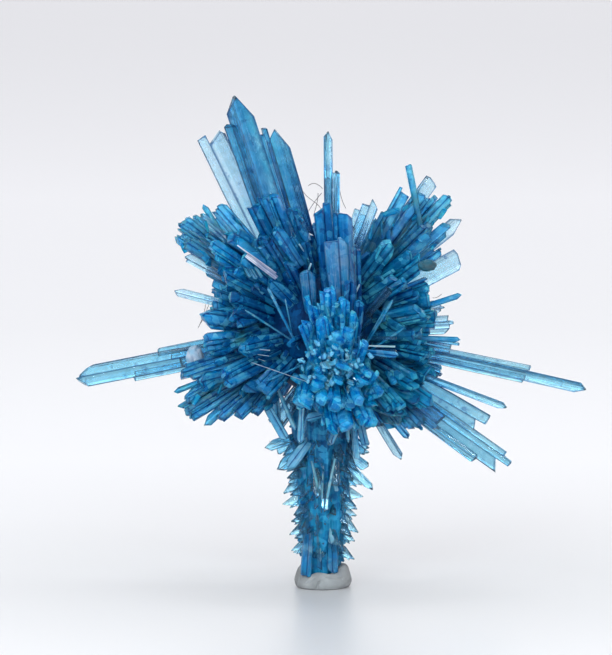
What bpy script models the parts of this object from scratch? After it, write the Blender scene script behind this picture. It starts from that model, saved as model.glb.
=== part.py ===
"""Pentagonite specimen: a ball of blue bladed crystals on a stalk of the same crystals, stood in a lump of
putty.

Lengths in the tables are millimetres, X to the right, Y away from the viewer and Z up. The origin is the
middle of the putty's flat underside. Every blue crystal grew into its neighbours, so they are one solid.
"""

import math
import random

import bmesh
import bpy
from mathutils import Matrix, Vector

MM = 0.001

HEART = Vector((0.0, 0.0, 20.7))  # the point that the head's crystals radiate from
CORE_RADIUS = 5.7  # the intergrown mass in the middle of the head
ROOT_RADIUS = 4.5  # where the head's crystals start inside that mass
ROOT_SHARE = 0.8  # a crystal's width at its root, as a share of its full width
PAST_TIP = 0.8  # how far a prism runs past its tip before its end is cut, in widths
FACING_LIMIT = 0.92  # a crystal closer to the line of sight takes its width from the X axis instead
SEED = 12

STALK_TOP_Z = 15.0
STALK_FOOT_Z = 0.85
STALK_TOP_RADIUS = 2.5
STALK_FOOT_RADIUS = 1.3
STALK_SIDES = 9

PUTTY_SIDES = 28
PUTTY_DEPTH_SCALE = 1.12  # the lump is a little deeper than it is wide
PUTTY_BULGES = ((2, 0.035, 0.6), (3, 0.02, 0.0))  # bulges round the lump: how many, how far out, turned by
PUTTY_CREASE = math.radians(50)
# Height and radius of the putty's skin, from the underside up to the rim and down into the stalk's socket
PUTTY_PROFILE = (
    (0.0, 2.0),
    (0.25, 2.18),
    (0.75, 2.27),
    (1.3, 2.2),
    (1.7, 2.02),
    (1.8, 1.86),
    (1.55, 1.74),
    (0.5, 1.66),
)

# Outlines across a crystal, as shares of its width and thickness
BLADE = ((0.5, 0.05), (0.31, 0.5), (-0.28, 0.5), (-0.5, 0.02), (-0.31, -0.5), (0.29, -0.5))
ROD = ((0.5, 0.0), (0.2, 0.5), (-0.3, 0.44), (-0.5, -0.05), (-0.1, -0.5), (0.34, -0.42))
THORN = ((0.5, 0.0), (0.0, 0.5), (-0.5, 0.0), (0.0, -0.5))

# Planes that end a crystal: fall across the width, fall across the thickness, height over the tip in widths
ENDS = {
    "flat": ((-0.14, 0.12, 0.0), (1.4, 0.1, 0.42)),
    "chisel": ((0.1, 0.9, 0.06), (0.05, -1.0, 0.06), (1.5, 0.0, 0.4), (-1.3, 0.0, 0.5)),
    "spear": ((2.3, 0.4, 0.14), (-1.1, -0.3, -0.04), (0.0, 1.3, 0.15), (-0.1, -1.2, 0.15)),
    "slant": ((0.9, 0.1, -0.04), (-0.7, 0.3, 0.08), (-0.1, -1.3, 0.25)),
}

# The crystals that can be told apart from the front. Each row is its tip, its width and thickness, the turn
# of its broad face in degrees, its end, and its root where it does not start at the heart.
FRONT_CRYSTALS = {
    "tall_blade": ((-7.15, -0.6, 39.45), 2.3, 1.1, 12, "spear", (-1.0, -0.5, 20.8)),
    "tall_blade_side": ((-7.5, -1.0, 37.3), 1.1, 0.8, 30, "chisel", (-1.8, -1.0, 21.0)),
    "pale_upper_left": ((-9.1, 1.0, 36.45), 2.3, 0.7, 8, "flat", (-1.4, 0.5, 20.5)),
    "right_of_tall": ((-3.85, 0.8, 36.75), 1.6, 0.8, -14, "slant", (0.9, 0.4, 20.5)),
    "behind_tall": ((-4.9, 0.4, 36.85), 0.9, 0.8, 20, "flat", (0.0, 0.2, 20.6)),
    "fan_block": ((-5.6, -1.8, 31.3), 1.6, 1.2, 24, "flat", (-1.0, -1.0, 22.0)),
    "fan_front": ((-4.2, -3.0, 31.8), 1.5, 1.1, -20, "chisel", (-0.2, -1.5, 21.5)),
    "fan_low": ((-2.6, -2.2, 31.0), 1.4, 1.0, 35, "spear", (0.2, -1.0, 21.5)),
    "fan_under": ((-4.7, -4.3, 28.3), 1.7, 1.1, 16, "chisel", (-0.6, -1.8, 21.5)),
    "fan_under_b": ((-3.1, -4.8, 26.6), 1.5, 1.0, -24, "slant", (-0.4, -2.0, 21.0)),
    "fan_right": ((-1.6, -3.4, 28.0), 1.1, 0.8, 20, "flat", (-0.2, -1.2, 21.4)),
    "left_bunch_tip": ((-11.9, -1.2, 28.8), 1.6, 1.1, 14, "spear", None),
    "left_bunch_b": ((-11.3, -0.7, 29.6), 1.2, 0.9, -18, "chisel", None),
    "left_bunch_c": ((-10.3, -0.3, 30.0), 1.3, 0.9, 28, "slant", None),
    "left_bunch_spike": ((-9.6, 0.1, 30.8), 0.5, 0.35, 0, "spear", (-7.2, 0.0, 26.9)),
    "left_bunch_d": ((-8.6, 0.6, 30.5), 1.7, 0.9, -8, "flat", None),
    "left_bunch_low": ((-11.0, -2.0, 28.0), 1.3, 1.1, 40, "chisel", None),
    "left_bunch_pale": ((-11.0, -0.6, 26.7), 0.85, 0.4, 10, "slant", None),
    "left_bunch_e": ((-9.6, 0.4, 25.7), 1.1, 0.7, -25, "spear", None),
    "left_bunch_face": ((-9.0, -4.2, 27.8), 1.6, 1.0, 20, "flat", (-1.5, -2.0, 22.5)),
    "left_bunch_front": ((-8.0, -4.6, 25.9), 1.9, 1.2, -24, "spear", (-1.4, -1.4, 22.0)),
    "left_front_dark": ((-7.5, -5.0, 23.7), 2.6, 1.5, 28, "chisel", (-1.8, -1.0, 21.2)),
    "milky_lath": ((-7.0, -5.1, 28.4), 0.9, 0.45, 25, "slant", (-1.2, -2.6, 23.6)),
    "left_needle": ((-11.9, -0.8, 23.9), 0.75, 0.35, 6, "spear", (-3.0, 0.0, 21.5)),
    "left_filler": ((-8.9, -0.4, 24.0), 1.2, 0.9, 20, "chisel", None),
    "left_dark": ((-7.6, -2.6, 23.8), 1.9, 1.4, 18, "spear", None),
    "left_middle": ((-9.9, -2.6, 22.1), 2.1, 1.3, -12, "spear", None),
    "left_middle_b": ((-9.6, -3.6, 20.0), 1.6, 1.2, 22, "chisel", None),
    "left_long_blade": ((-19.9, 0.4, 16.75), 1.7, 0.8, 12, "spear", None),
    "left_long_ledge": ((-15.2, 0.5, 16.9), 0.8, 0.45, 8, "flat", (-0.4, 0.2, 19.9)),
    "left_long_root": ((-12.2, 0.5, 18.2), 1.3, 0.8, 15, "flat", (0.0, 0.2, 20.5)),
    "left_long_upper": ((-13.4, 0.6, 18.8), 0.7, 0.5, 10, "slant", (0.0, 0.3, 21.6)),
    "low_left_a": ((-11.4, -3.0, 17.2), 1.8, 1.3, 16, "flat", None),
    "low_left_spike": ((-11.9, -3.0, 16.0), 0.5, 0.4, 0, "spear", (-7.5, -2.0, 17.6)),
    "low_left_b": ((-11.6, -3.2, 14.8), 1.7, 1.2, -22, "spear", None),
    "low_left_c": ((-10.9, -3.5, 14.2), 1.6, 1.2, 30, "chisel", None),
    "low_left_thorn": ((-9.5, -2.9, 13.3), 0.8, 0.5, 10, "spear", (-6.0, -2.0, 16.5)),
    "low_left_d": ((-8.5, -3.3, 14.0), 1.4, 1.0, -15, "slant", None),
    "low_left_e": ((-7.0, -3.5, 14.1), 1.3, 1.1, 18, "chisel", None),
    "low_left_f": ((-5.7, -3.3, 14.3), 1.3, 1.0, -30, "slant", None),
    "low_left_front": ((-8.0, -6.0, 17.2), 1.8, 1.3, 25, "chisel", None),
    "left_front": ((-6.6, -7.0, 19.8), 1.6, 1.2, -15, "spear", None),
    "left_front_low": ((-5.2, -7.4, 16.2), 1.9, 1.3, 24, "slant", None),
    "left_front_thin": ((-3.6, -7.2, 22.3), 0.8, 0.5, 14, "flat", None),
    "left_front_thin_b": ((-2.7, -7.6, 20.3), 0.9, 0.6, -30, "spear", None),
    "left_front_side": ((-6.4, -5.8, 21.6), 1.6, 1.1, -20, "slant", None),
    "lower_right_blade": ((14.85, -0.5, 9.7), 2.0, 0.75, 14, "flat", (0.0, 0.0, 20.2)),
    "lower_right_upper": ((13.1, 0.5, 13.0), 1.75, 0.5, 6, "flat", None),
    "lower_right_under": ((12.3, -0.7, 10.3), 0.9, 0.6, 20, "slant", (-0.2, -0.3, 19.6)),
    "lower_right_inner": ((9.6, -1.8, 13.2), 1.6, 1.0, -20, "chisel", None),
    "right_long_blade": ((21.1, 0.2, 15.9), 0.95, 0.6, 14, "spear", None),
    "right_long_upper": ((16.7, 0.1, 17.6), 0.5, 0.4, 10, "slant", (0.2, 0.0, 21.0)),
    "right_long_lower": ((16.2, 0.4, 16.7), 0.75, 0.45, 18, "flat", (0.1, 0.2, 20.2)),
    "right_long_root": ((10.9, 0.3, 19.2), 1.0, 0.8, -10, "chisel", (0.4, 0.2, 20.9)),
    "right_needle": ((14.65, -2.5, 14.7), 0.68, 0.5, 24, "spear", (0.4, -1.4, 20.0)),
    "right_under_long": ((9.5, -0.6, 17.1), 1.2, 1.0, 10, "slant", None),
    "right_rod": ((11.0, -1.0, 20.0), 0.45, 0.4, 10, "flat", (2.0, -0.5, 20.3)),
    "right_upper_needle": ((11.1, -0.8, 23.6), 0.45, 0.4, 0, "spear", (3.0, 0.0, 20.9)),
    "pale_square": ((11.0, 2.2, 26.3), 1.65, 0.45, 5, "flat", None),
    "pale_pointed": ((11.1, 1.4, 29.5), 1.2, 0.45, 16, "slant", None),
    "right_prism": ((10.2, -0.3, 29.2), 1.2, 0.9, 20, "spear", None),
    "right_prism_b": ((9.4, 0.6, 27.3), 1.3, 0.8, -20, "chisel", None),
    "upper_right_a": ((8.1, 0.0, 31.8), 1.3, 0.9, 10, "slant", None),
    "upper_right_b": ((9.1, 0.3, 31.4), 1.2, 0.9, -16, "flat", None),
    "upper_right_c": ((10.2, 0.2, 31.4), 1.2, 0.8, 22, "slant", None),
    "upper_right_d": ((8.7, -1.1, 29.3), 1.3, 1.0, 30, "spear", None),
    "thin_rod": ((6.8, -0.4, 34.0), 0.6, 0.5, 15, "flat", (8.1, -0.1, 27.5)),
    "long_lath": ((6.6, -1.3, 32.1), 1.1, 0.6, 10, "flat", (0.5, -0.7, 20.8)),
    "lath_neighbour": ((5.0, -1.0, 30.2), 1.2, 0.9, -24, "slant", (0.4, -0.5, 20.8)),
    "upper_pale": ((8.8, 1.5, 32.7), 1.15, 0.4, 8, "flat", None),
    "top_needle": ((0.4, 0.6, 36.6), 0.8, 0.6, 12, "spear", (0.5, 0.3, 21.0)),
    "top_needle_ledge": ((1.0, 0.7, 33.5), 0.75, 0.6, 30, "slant", (0.9, 0.3, 21.0)),
    "top_needle_base": ((0.55, 0.9, 33.0), 0.7, 0.6, -20, "chisel", (0.6, 0.5, 21.0)),
    "upright_left": ((-0.1, -3.0, 31.2), 1.5, 1.1, 10, "flat", (1.3, -5.6, 16.6)),
    "upright_right": ((1.5, -3.4, 30.6), 1.6, 1.2, -8, "slant", (2.2, -5.8, 16.6)),
    "upright_shoulder": ((2.5, -3.6, 27.9), 1.0, 0.9, 14, "slant", (2.8, -4.3, 18.4)),
    "upright_front": ((0.95, -5.3, 28.5), 1.9, 0.8, 6, "chisel", (1.5, -5.9, 20.5)),
    "pale_double": ((4.0, 1.6, 31.1), 1.35, 0.5, 6, "slant", None),
    "pale_double_b": ((3.1, 1.9, 30.2), 1.2, 0.5, -8, "flat", None),
    "pale_double_c": ((2.3, 1.3, 29.1), 0.9, 0.5, 12, "slant", None),
    "upper_filler": ((5.1, 0.8, 28.9), 1.4, 1.0, -20, "chisel", None),
    "right_wisp": ((10.5, 1.6, 21.0), 1.7, 0.5, 20, "slant", None),
    "right_wisp_b": ((9.8, 1.9, 22.4), 1.4, 0.5, -15, "spear", None),
    "right_filler": ((8.6, 0.4, 24.2), 1.8, 1.2, 12, "chisel", None),
    "teal_blade": ((7.8, -2.8, 26.9), 2.3, 1.3, 12, "slant", None),
    "teal_blade_b": ((6.4, -4.2, 25.4), 2.0, 1.2, -22, "chisel", None),
    "teal_blade_c": ((5.6, -3.6, 28.2), 1.5, 1.0, 18, "spear", None),
    "right_front_a": ((8.2, -4.6, 22.6), 1.7, 1.2, 24, "chisel", None),
    "right_front_b": ((8.6, -4.2, 19.2), 1.8, 1.3, -14, "slant", None),
    "right_front_c": ((7.6, -5.4, 16.6), 1.9, 1.3, 30, "spear", None),
    "right_front_d": ((6.0, -6.4, 14.9), 1.7, 1.2, -24, "chisel", None),
    "right_front_e": ((8.7, -3.4, 14.9), 1.6, 1.1, 12, "slant", None),
    "lavender_blade": ((-1.3, -5.8, 26.0), 1.3, 0.9, 4, "slant", (-0.7, -3.0, 19.8)),
    "front_blade": ((2.2, -6.6, 25.4), 1.1, 0.9, 14, "spear", (1.7, -4.6, 17.4)),
    "front_blade_b": ((2.9, -6.6, 23.7), 0.9, 0.7, -16, "slant", (2.2, -4.8, 17.4)),
    "front_steep": ((5.3, -4.4, 24.4), 0.8, 0.6, 20, "flat", (1.2, -2.0, 19.4)),
    "front_small_needle": ((3.9, -6.1, 22.2), 0.45, 0.3, 10, "spear", (1.6, -3.5, 19.6)),
    "front_rod": ((5.8, -6.3, 20.6), 0.3, 0.25, 10, "flat", (1.5, -3.4, 20.4)),
    "front_lens": ((5.9, -6.6, 19.4), 0.85, 0.4, 12, "slant", (1.0, -3.0, 19.0)),
    "low_right_a": ((8.2, -1.8, 12.9), 1.3, 0.9, 18, "spear", None),
    "low_right_b": ((7.1, -1.3, 12.3), 1.3, 0.9, -22, "chisel", None),
    "low_right_c": ((6.2, -2.4, 13.1), 1.2, 0.9, 26, "spear", None),
    "low_right_d": ((5.3, -1.8, 13.3), 1.1, 0.9, -10, "slant", None),
    "low_right_flat": ((4.2, 0.4, 11.7), 2.2, 1.2, 12, "flat", None),
    "low_right_spike": ((6.3, 0.4, 10.2), 0.75, 0.5, 10, "spear", (3.6, 0.0, 14.6)),
    "under_left_lath": ((-4.0, -1.4, 13.0), 1.5, 0.8, 20, "flat", (-0.8, -0.8, 17.4)),
}

# Crystals on the stalk that show one by one
STALK_CRYSTALS = {
    "stalk_left_a": ((-4.7, -0.8, 11.3), 0.85, 0.5, 5, "spear", (-0.6, -0.3, 12.6)),
    "stalk_left_b": ((-3.8, -0.2, 10.9), 0.8, 0.5, 0, "slant", (-0.6, 0.0, 13.2)),
    "stalk_left_c": ((-3.7, -1.2, 9.6), 1.0, 0.6, 10, "spear", (-0.4, -0.6, 12.0)),
    "stalk_left_d": ((-2.8, -2.2, 9.8), 1.1, 0.5, 30, "slant", (-0.6, -0.6, 12.6)),
    "stalk_left_e": ((-2.8, -0.6, 8.4), 0.9, 0.5, 0, "spear", (-0.4, -0.2, 10.6)),
    "stalk_right_a": ((3.5, -0.4, 10.9), 0.9, 0.6, 10, "flat", (0.8, 0.0, 13.2)),
    "stalk_right_b": ((3.6, -0.6, 9.6), 0.9, 0.5, 10, "slant", (0.6, 0.0, 11.8)),
    "stalk_right_c": ((4.0, -0.8, 7.9), 0.7, 0.5, 20, "spear", (1.2, -0.3, 10.8)),
    "stalk_front_left": ((-1.9, -3.3, 11.8), 0.6, 0.4, 10, "spear", (-0.9, -2.0, 16.4)),
    "stalk_front_mid": ((0.4, -4.4, 11.9), 0.65, 0.4, -10, "spear", (1.4, -1.4, 16.6)),
    "stalk_front_right": ((2.5, -4.4, 12.9), 0.5, 0.35, 10, "spear", (1.9, -2.4, 17.0)),
    "stalk_face_a": ((-0.5, -2.7, 7.4), 0.7, 0.5, 10, "spear", (-0.4, -0.9, 12.4)),
    "stalk_face_b": ((0.1, -2.6, 6.3), 0.6, 0.5, -12, "spear", (0.5, -0.9, 12.0)),
    "stalk_face_c": ((1.0, -2.5, 8.4), 0.9, 0.6, 16, "chisel", (0.7, -0.8, 12.8)),
}

# The long prisms that make the stalk: angle round it, distance from its middle at the top and at the foot,
# height of the foot, width
PRISM_TOP_Z = 15.6
PRISM_FLATNESS = 0.8
STALK_PRISMS = (
    (250, 1.6, 0.8, 0.9, 1.3),
    (300, 1.5, 0.75, 1.3, 1.2),
    (350, 1.8, 0.85, 0.95, 1.2),
    (30, 1.5, 0.75, 1.9, 1.3),
    (80, 1.7, 0.8, 0.9, 1.2),
    (140, 1.6, 0.75, 1.6, 1.3),
    (200, 1.8, 0.85, 1.1, 1.2),
)

GOLDEN_ANGLE = math.radians(137.5)

# Thorns all round the stalk, evenly spread from low to high, larger towards the head
SPIKE_COUNT = 84
SPIKE_LOW_Z = 2.9
SPIKE_HIGH_Z = 12.0
SPIKE_LENGTHS = (0.85, 1.35)
SPIKE_EXTRA_LENGTH = 0.5
SPIKE_DROOPS = (12, 48)  # degrees below level
SPIKE_WIDTHS = (1.0, 1.5)
SPIKE_EXTRA_WIDTH = 0.2
SPIKE_FLATNESS = 0.62
SPIKE_ROOT = 0.7  # how deep a thorn starts inside the stalk
SPIKE_SWAY = 0.3  # radians to either side
SPIKE_TURN = 50

# Crystals that fill the ball between those of the table
BALL_CRYSTALS = 150  # even directions tried
LEAST_ANGLE = math.radians(12.5)  # kept free round every crystal of the table
STALK_ANGLE = math.radians(43)  # kept free round straight down
FRONT_LIMIT = -0.35  # the table holds every crystal that points at the viewer more than this
BACK_LIMIT = 0.25  # a direction past this counts as the back, where the crystals are longer
BACK_LENGTHS = (8.0, 10.8)
SIDE_LENGTHS = (7.6, 9.4)
LONG_SHARE = 0.2
LONG_EXTRA = (1.5, 3.5)
FILL_WIDTHS = (1.5, 2.6)
FILL_FLATNESS = (0.5, 0.75)
FILL_TURN = 60
FILL_LEAN = 0.7  # how far from the heart a filling crystal may start

# Blunt crystals that point at the viewer from the middle of the head
BURST_WIDTHS = (1.7, 2.4)
BURST_FLATNESS = 0.72
BURST_TURN = 70
FRONT_BURST = (
    (-0.4, -9.6, 17.2),
    (1.6, -10.2, 18.2),
    (3.4, -9.4, 17.4),
    (0.6, -9.8, 15.6),
    (2.6, -9.6, 15.4),
    (4.4, -8.2, 15.6),
    (-1.6, -8.4, 15.4),
    (1.4, -9.2, 20.8),
    (3.6, -8.2, 13.9),
    (1.4, -8.4, 13.4),
)


def clear_scene():
    for thing in list(bpy.data.objects):
        bpy.data.objects.remove(thing)


def material(name, colour, roughness):
    made = bpy.data.materials.new(name)
    made.use_nodes = True
    shader = made.node_tree.nodes["Principled BSDF"]
    shader.inputs["Base Color"].default_value = (*colour, 1.0)
    shader.inputs["Roughness"].default_value = roughness
    shader.inputs["Metallic"].default_value = 0.0
    return made


def new_object(name, bm):
    mesh = bpy.data.meshes.new(name)
    bm.to_mesh(mesh)
    bm.free()
    made = bpy.data.objects.new(name, mesh)
    bpy.context.scene.collection.objects.link(made)
    return made


def crystal_axes(root, tip, turn):
    """The crystal's own directions: along it, across its width and through its thickness."""
    along = (tip - root).normalized()
    facing = Vector((0.0, -1.0, 0.0))
    if abs(along.dot(facing)) > FACING_LIMIT:
        facing = Vector((1.0, 0.0, 0.0))
    across = along.cross(facing).normalized()
    across = Matrix.Rotation(math.radians(turn), 3, along) @ across
    return along, across, along.cross(across)


def prism(outline, root, tip, across, through, width, thickness, beyond):
    """A closed prism from root to a little past tip, narrower at its root."""
    bm = bmesh.new()
    along = (tip - root).normalized()
    rings = []
    for middle, share in ((root, ROOT_SHARE), (tip + along * beyond, 1.0)):
        wide, deep = across * width * share, through * thickness * share
        rings.append([bm.verts.new((middle + wide * u + deep * v) * MM) for u, v in outline])
    bm.faces.new(rings[0])
    bm.faces.new(rings[1])
    bmesh.ops.bridge_loops(bm, edges=bm.edges[:])
    bmesh.ops.recalc_face_normals(bm, faces=bm.faces[:])
    return bm


def cut_by_plane(bm, point, normal):
    """Takes off what lies past the plane and closes the cut with one flat face."""
    everything = bm.verts[:] + bm.edges[:] + bm.faces[:]
    bmesh.ops.bisect_plane(
        bm, geom=everything, dist=1e-8, plane_co=point * MM, plane_no=normal, clear_outer=True
    )
    open_edges = [edge for edge in bm.edges if edge.is_boundary]
    if open_edges:
        bmesh.ops.holes_fill(bm, edges=open_edges)


def outside_the_middle(root, tip):
    """The root, moved along the crystal until it is ROOT_RADIUS from the heart."""
    along = (tip - root).normalized()
    from_heart = root - HEART
    if from_heart.length > ROOT_RADIUS:
        return root
    half = from_heart.dot(along)
    return root + along * (math.sqrt(half * half - from_heart.length_squared + ROOT_RADIUS**2) - half)


def crystal(tip, width, thickness, turn, end, root=None, outline=BLADE):
    """One crystal, its prism ended by the flat planes of its end."""
    tip = Vector(tip)
    root = outside_the_middle(HEART if root is None else Vector(root), tip)
    along, across, through = crystal_axes(root, tip, turn)
    bm = prism(outline, root, tip, across, through, width, thickness, width * PAST_TIP)
    for fall_across, fall_through, rise in ENDS[end]:
        normal = (along + across * fall_across + through * fall_through).normalized()
        cut_by_plane(bm, tip + along * (rise * width), normal)
    bmesh.ops.recalc_face_normals(bm, faces=bm.faces[:])
    return bm


def spike(root, tip, width, thickness, turn):
    """A small four-sided thorn that runs to a point."""
    along, across, through = crystal_axes(root, tip, turn)
    bm = bmesh.new()
    ring = [bm.verts.new((root + across * (u * width) + through * (v * thickness)) * MM) for u, v in THORN]
    point = bm.verts.new(tip * MM)
    bm.faces.new(ring)
    for number, corner in enumerate(ring):
        bm.faces.new((corner, ring[(number + 1) % len(ring)], point))
    bmesh.ops.recalc_face_normals(bm, faces=bm.faces[:])
    return bm


def add_to(whole, part):
    """Copies one closed shape into the mesh that collects them."""
    mesh = bpy.data.meshes.new("shape")
    part.to_mesh(mesh)
    part.free()
    whole.from_mesh(mesh)
    bpy.data.meshes.remove(mesh)


def stalk_radius(z):
    share = (z - STALK_FOOT_Z) / (STALK_TOP_Z - STALK_FOOT_Z)
    return STALK_FOOT_RADIUS + (STALK_TOP_RADIUS - STALK_FOOT_RADIUS) * share


def even_directions(count):
    """Directions spread evenly over the ball, on a golden spiral."""
    for number in range(count):
        up = 1 - (2 * number + 1) / count
        level = math.sqrt(1 - up * up)
        yield Vector((level * math.cos(GOLDEN_ANGLE * number), level * math.sin(GOLDEN_ANGLE * number), up))


def filling_crystals(chance):
    """Crystals between those of the table, longer at the back where the table has few."""
    taken = [(Vector(row[0]) - HEART).normalized() for row in FRONT_CRYSTALS.values()]
    taken += [(Vector(tip) - HEART).normalized() for tip in FRONT_BURST]
    for direction in even_directions(BALL_CRYSTALS):
        if direction.angle(Vector((0, 0, -1))) < STALK_ANGLE:
            continue
        if direction.y < FRONT_LIMIT or min(direction.angle(other) for other in taken) < LEAST_ANGLE:
            continue
        behind = direction.y > BACK_LIMIT
        length = chance.uniform(*(BACK_LENGTHS if behind else SIDE_LENGTHS))
        if behind and chance.random() < LONG_SHARE:
            length += chance.uniform(*LONG_EXTRA)
        width = chance.uniform(*FILL_WIDTHS)
        lean = Vector((chance.uniform(-1, 1), chance.uniform(-1, 1), chance.uniform(-1, 1))) * FILL_LEAN
        yield crystal(
            HEART + direction * length,
            width,
            width * chance.uniform(*FILL_FLATNESS),
            chance.uniform(-FILL_TURN, FILL_TURN),
            chance.choice(("flat", "chisel", "spear", "slant")),
            HEART + lean,
        )


def burst_crystals(chance):
    for tip in FRONT_BURST:
        width = chance.uniform(*BURST_WIDTHS)
        end = chance.choice(("chisel", "spear", "slant"))
        turn = chance.uniform(-BURST_TURN, BURST_TURN)
        yield crystal(tip, width, width * BURST_FLATNESS, turn, end, outline=ROD)


def stalk_core():
    """The solid middle of the stalk, a tapered prism that runs into the head."""
    bm = bmesh.new()
    height = STALK_TOP_Z - STALK_FOOT_Z
    place = Matrix.Translation(Vector((0, 0, STALK_FOOT_Z + height / 2)) * MM)
    bmesh.ops.create_cone(
        bm,
        cap_ends=True,
        segments=STALK_SIDES,
        radius1=STALK_FOOT_RADIUS * MM,
        radius2=STALK_TOP_RADIUS * MM,
        depth=height * MM,
        matrix=place,
    )
    return bm


def stalk_prisms():
    for angle, top, foot, foot_z, width in STALK_PRISMS:
        way = Vector((math.cos(math.radians(angle)), math.sin(math.radians(angle)), 0))
        root = way * top + Vector((0, 0, PRISM_TOP_Z))
        tip = way * foot + Vector((0, 0, foot_z))
        yield crystal(tip, width, width * PRISM_FLATNESS, angle, "flat", root, ROD)


def stalk_spikes(chance):
    """Thorns that point out and down."""
    for number in range(SPIKE_COUNT):
        share = (number + 0.5) / SPIKE_COUNT
        z = SPIKE_LOW_Z + (SPIKE_HIGH_Z - SPIKE_LOW_Z) * share
        angle = GOLDEN_ANGLE * number + chance.uniform(-SPIKE_SWAY, SPIKE_SWAY)
        out = Vector((math.cos(angle), math.sin(angle), 0))
        length = chance.uniform(*SPIKE_LENGTHS) + SPIKE_EXTRA_LENGTH * share
        droop = math.radians(chance.uniform(*SPIKE_DROOPS))
        way = out * math.cos(droop) - Vector((0, 0, math.sin(droop)))
        start = Vector((0, 0, z)) + out * stalk_radius(z)
        width = chance.uniform(*SPIKE_WIDTHS) + SPIKE_EXTRA_WIDTH * share
        turn = chance.uniform(-SPIKE_TURN, SPIKE_TURN)
        yield spike(start - way * SPIKE_ROOT, start + way * length, width, width * SPIKE_FLATNESS, turn)


def core_mass():
    bm = bmesh.new()
    place = Matrix.Translation(HEART * MM)
    bmesh.ops.create_icosphere(bm, subdivisions=2, radius=CORE_RADIUS * MM, matrix=place)
    return bm


def make_crystals(finish):
    """Every blue crystal, joined by one exact union into a single solid."""
    chance = random.Random(SEED)
    shapes = bmesh.new()
    rows = list(FRONT_CRYSTALS.values()) + list(STALK_CRYSTALS.values())
    for tip, width, thickness, turn, end, root in rows:
        add_to(shapes, crystal(tip, width, thickness, turn, end, root))
    for source in (filling_crystals(chance), burst_crystals(chance), stalk_prisms(), stalk_spikes(chance)):
        for part in source:
            add_to(shapes, part)
    add_to(shapes, stalk_core())
    helper = new_object("crystal_shapes", shapes)
    helper.hide_render = True
    helper.display_type = "WIRE"
    body = new_object("pentagonite_crystals", core_mass())
    join = body.modifiers.new("join_crystals", "BOOLEAN")
    join.operation = "UNION"
    join.solver = "EXACT"
    join.use_self = True
    join.object = helper
    body.data.materials.append(finish)
    return body


def make_putty(finish):
    """A squashed lump with a raised rim round the socket that holds the stalk's foot."""
    bm = bmesh.new()
    rings = []
    for z, radius in PUTTY_PROFILE:
        ring = []
        for number in range(PUTTY_SIDES):
            angle = 2 * math.pi * number / PUTTY_SIDES
            bulge = sum(out * math.sin(count * angle + turn) for count, out, turn in PUTTY_BULGES)
            reach = radius * (1 + bulge)
            point = Vector((reach * math.cos(angle), reach * PUTTY_DEPTH_SCALE * math.sin(angle), z))
            ring.append(bm.verts.new(point * MM))
        rings.append(ring)
    for lower, upper in zip(rings, rings[1:]):
        for number in range(PUTTY_SIDES):
            following = (number + 1) % PUTTY_SIDES
            bm.faces.new((lower[number], lower[following], upper[following], upper[number]))
    bm.faces.new(rings[0])
    bm.faces.new(rings[-1])
    bmesh.ops.recalc_face_normals(bm, faces=bm.faces[:])
    lump = new_object("putty_base", bm)
    lump.data.shade_smooth()
    lump.data.set_sharp_from_angle(angle=PUTTY_CREASE)
    lump.data.materials.append(finish)
    return lump


def main():
    clear_scene()
    make_crystals(material("blue_crystal", (0.03, 0.28, 0.62), 0.08))
    make_putty(material("grey_putty", (0.52, 0.52, 0.5), 0.7))


main()
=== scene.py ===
import math
import random

import bpy
import numpy as np
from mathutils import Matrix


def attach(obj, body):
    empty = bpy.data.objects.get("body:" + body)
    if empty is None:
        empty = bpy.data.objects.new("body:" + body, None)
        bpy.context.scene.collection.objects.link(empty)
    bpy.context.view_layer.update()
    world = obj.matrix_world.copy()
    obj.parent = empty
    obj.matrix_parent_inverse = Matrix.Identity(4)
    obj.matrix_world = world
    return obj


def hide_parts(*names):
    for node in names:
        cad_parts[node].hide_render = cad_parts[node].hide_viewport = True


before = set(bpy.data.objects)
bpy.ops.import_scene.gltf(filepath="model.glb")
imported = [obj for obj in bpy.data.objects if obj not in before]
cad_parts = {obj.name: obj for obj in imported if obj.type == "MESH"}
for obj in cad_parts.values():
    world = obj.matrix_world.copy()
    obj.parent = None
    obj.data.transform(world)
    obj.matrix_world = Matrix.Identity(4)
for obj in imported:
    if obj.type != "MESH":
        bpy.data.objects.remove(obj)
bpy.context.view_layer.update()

mm = 0.001
heart = np.array((0.0, 0.0, 20.7))  # every head crystal points away from here, in mm as the tables are
goldenAngle = math.radians(137.5)
print("pentagonite: frame loaded")


# Vectors, nodes and objects
def unit(vectors):
    return vectors / np.linalg.norm(vectors, axis=-1, keepdims=True)


def link(tree, start, end):
    tree.links.new(start, end)


def fill(node, values):
    for name, value in values.items():
        node.inputs[name].default_value = (*value, 1.0) if isinstance(value, tuple) else value


def nodeOf(tree, kind, **settings):
    # A node with its plain settings; a setting named after an input goes to that input
    made = tree.nodes.new(kind)
    for name, value in settings.items():
        if hasattr(made, name):
            setattr(made, name, value)
        else:
            made.inputs[name].default_value = value
    return made


def rampOf(tree, steps, blueness):
    # Grey levels at their places, the blue a little over the grey
    ramp = nodeOf(tree, "ShaderNodeValToRGB")
    while len(ramp.color_ramp.elements) < len(steps):
        ramp.color_ramp.elements.new(0.5)
    for element, (place, level) in zip(ramp.color_ramp.elements, steps):
        element.position = place
        element.color = (level, level, level * blueness, 1.0)
    return ramp


def newFinish(name):
    finish = bpy.data.materials.new(name)
    finish.use_nodes = True
    return finish, finish.node_tree, finish.node_tree.nodes["Principled BSDF"]


def inScene(name, data):
    thing = bpy.data.objects.new(name, data)
    bpy.context.scene.collection.objects.link(thing)
    return thing


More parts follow.
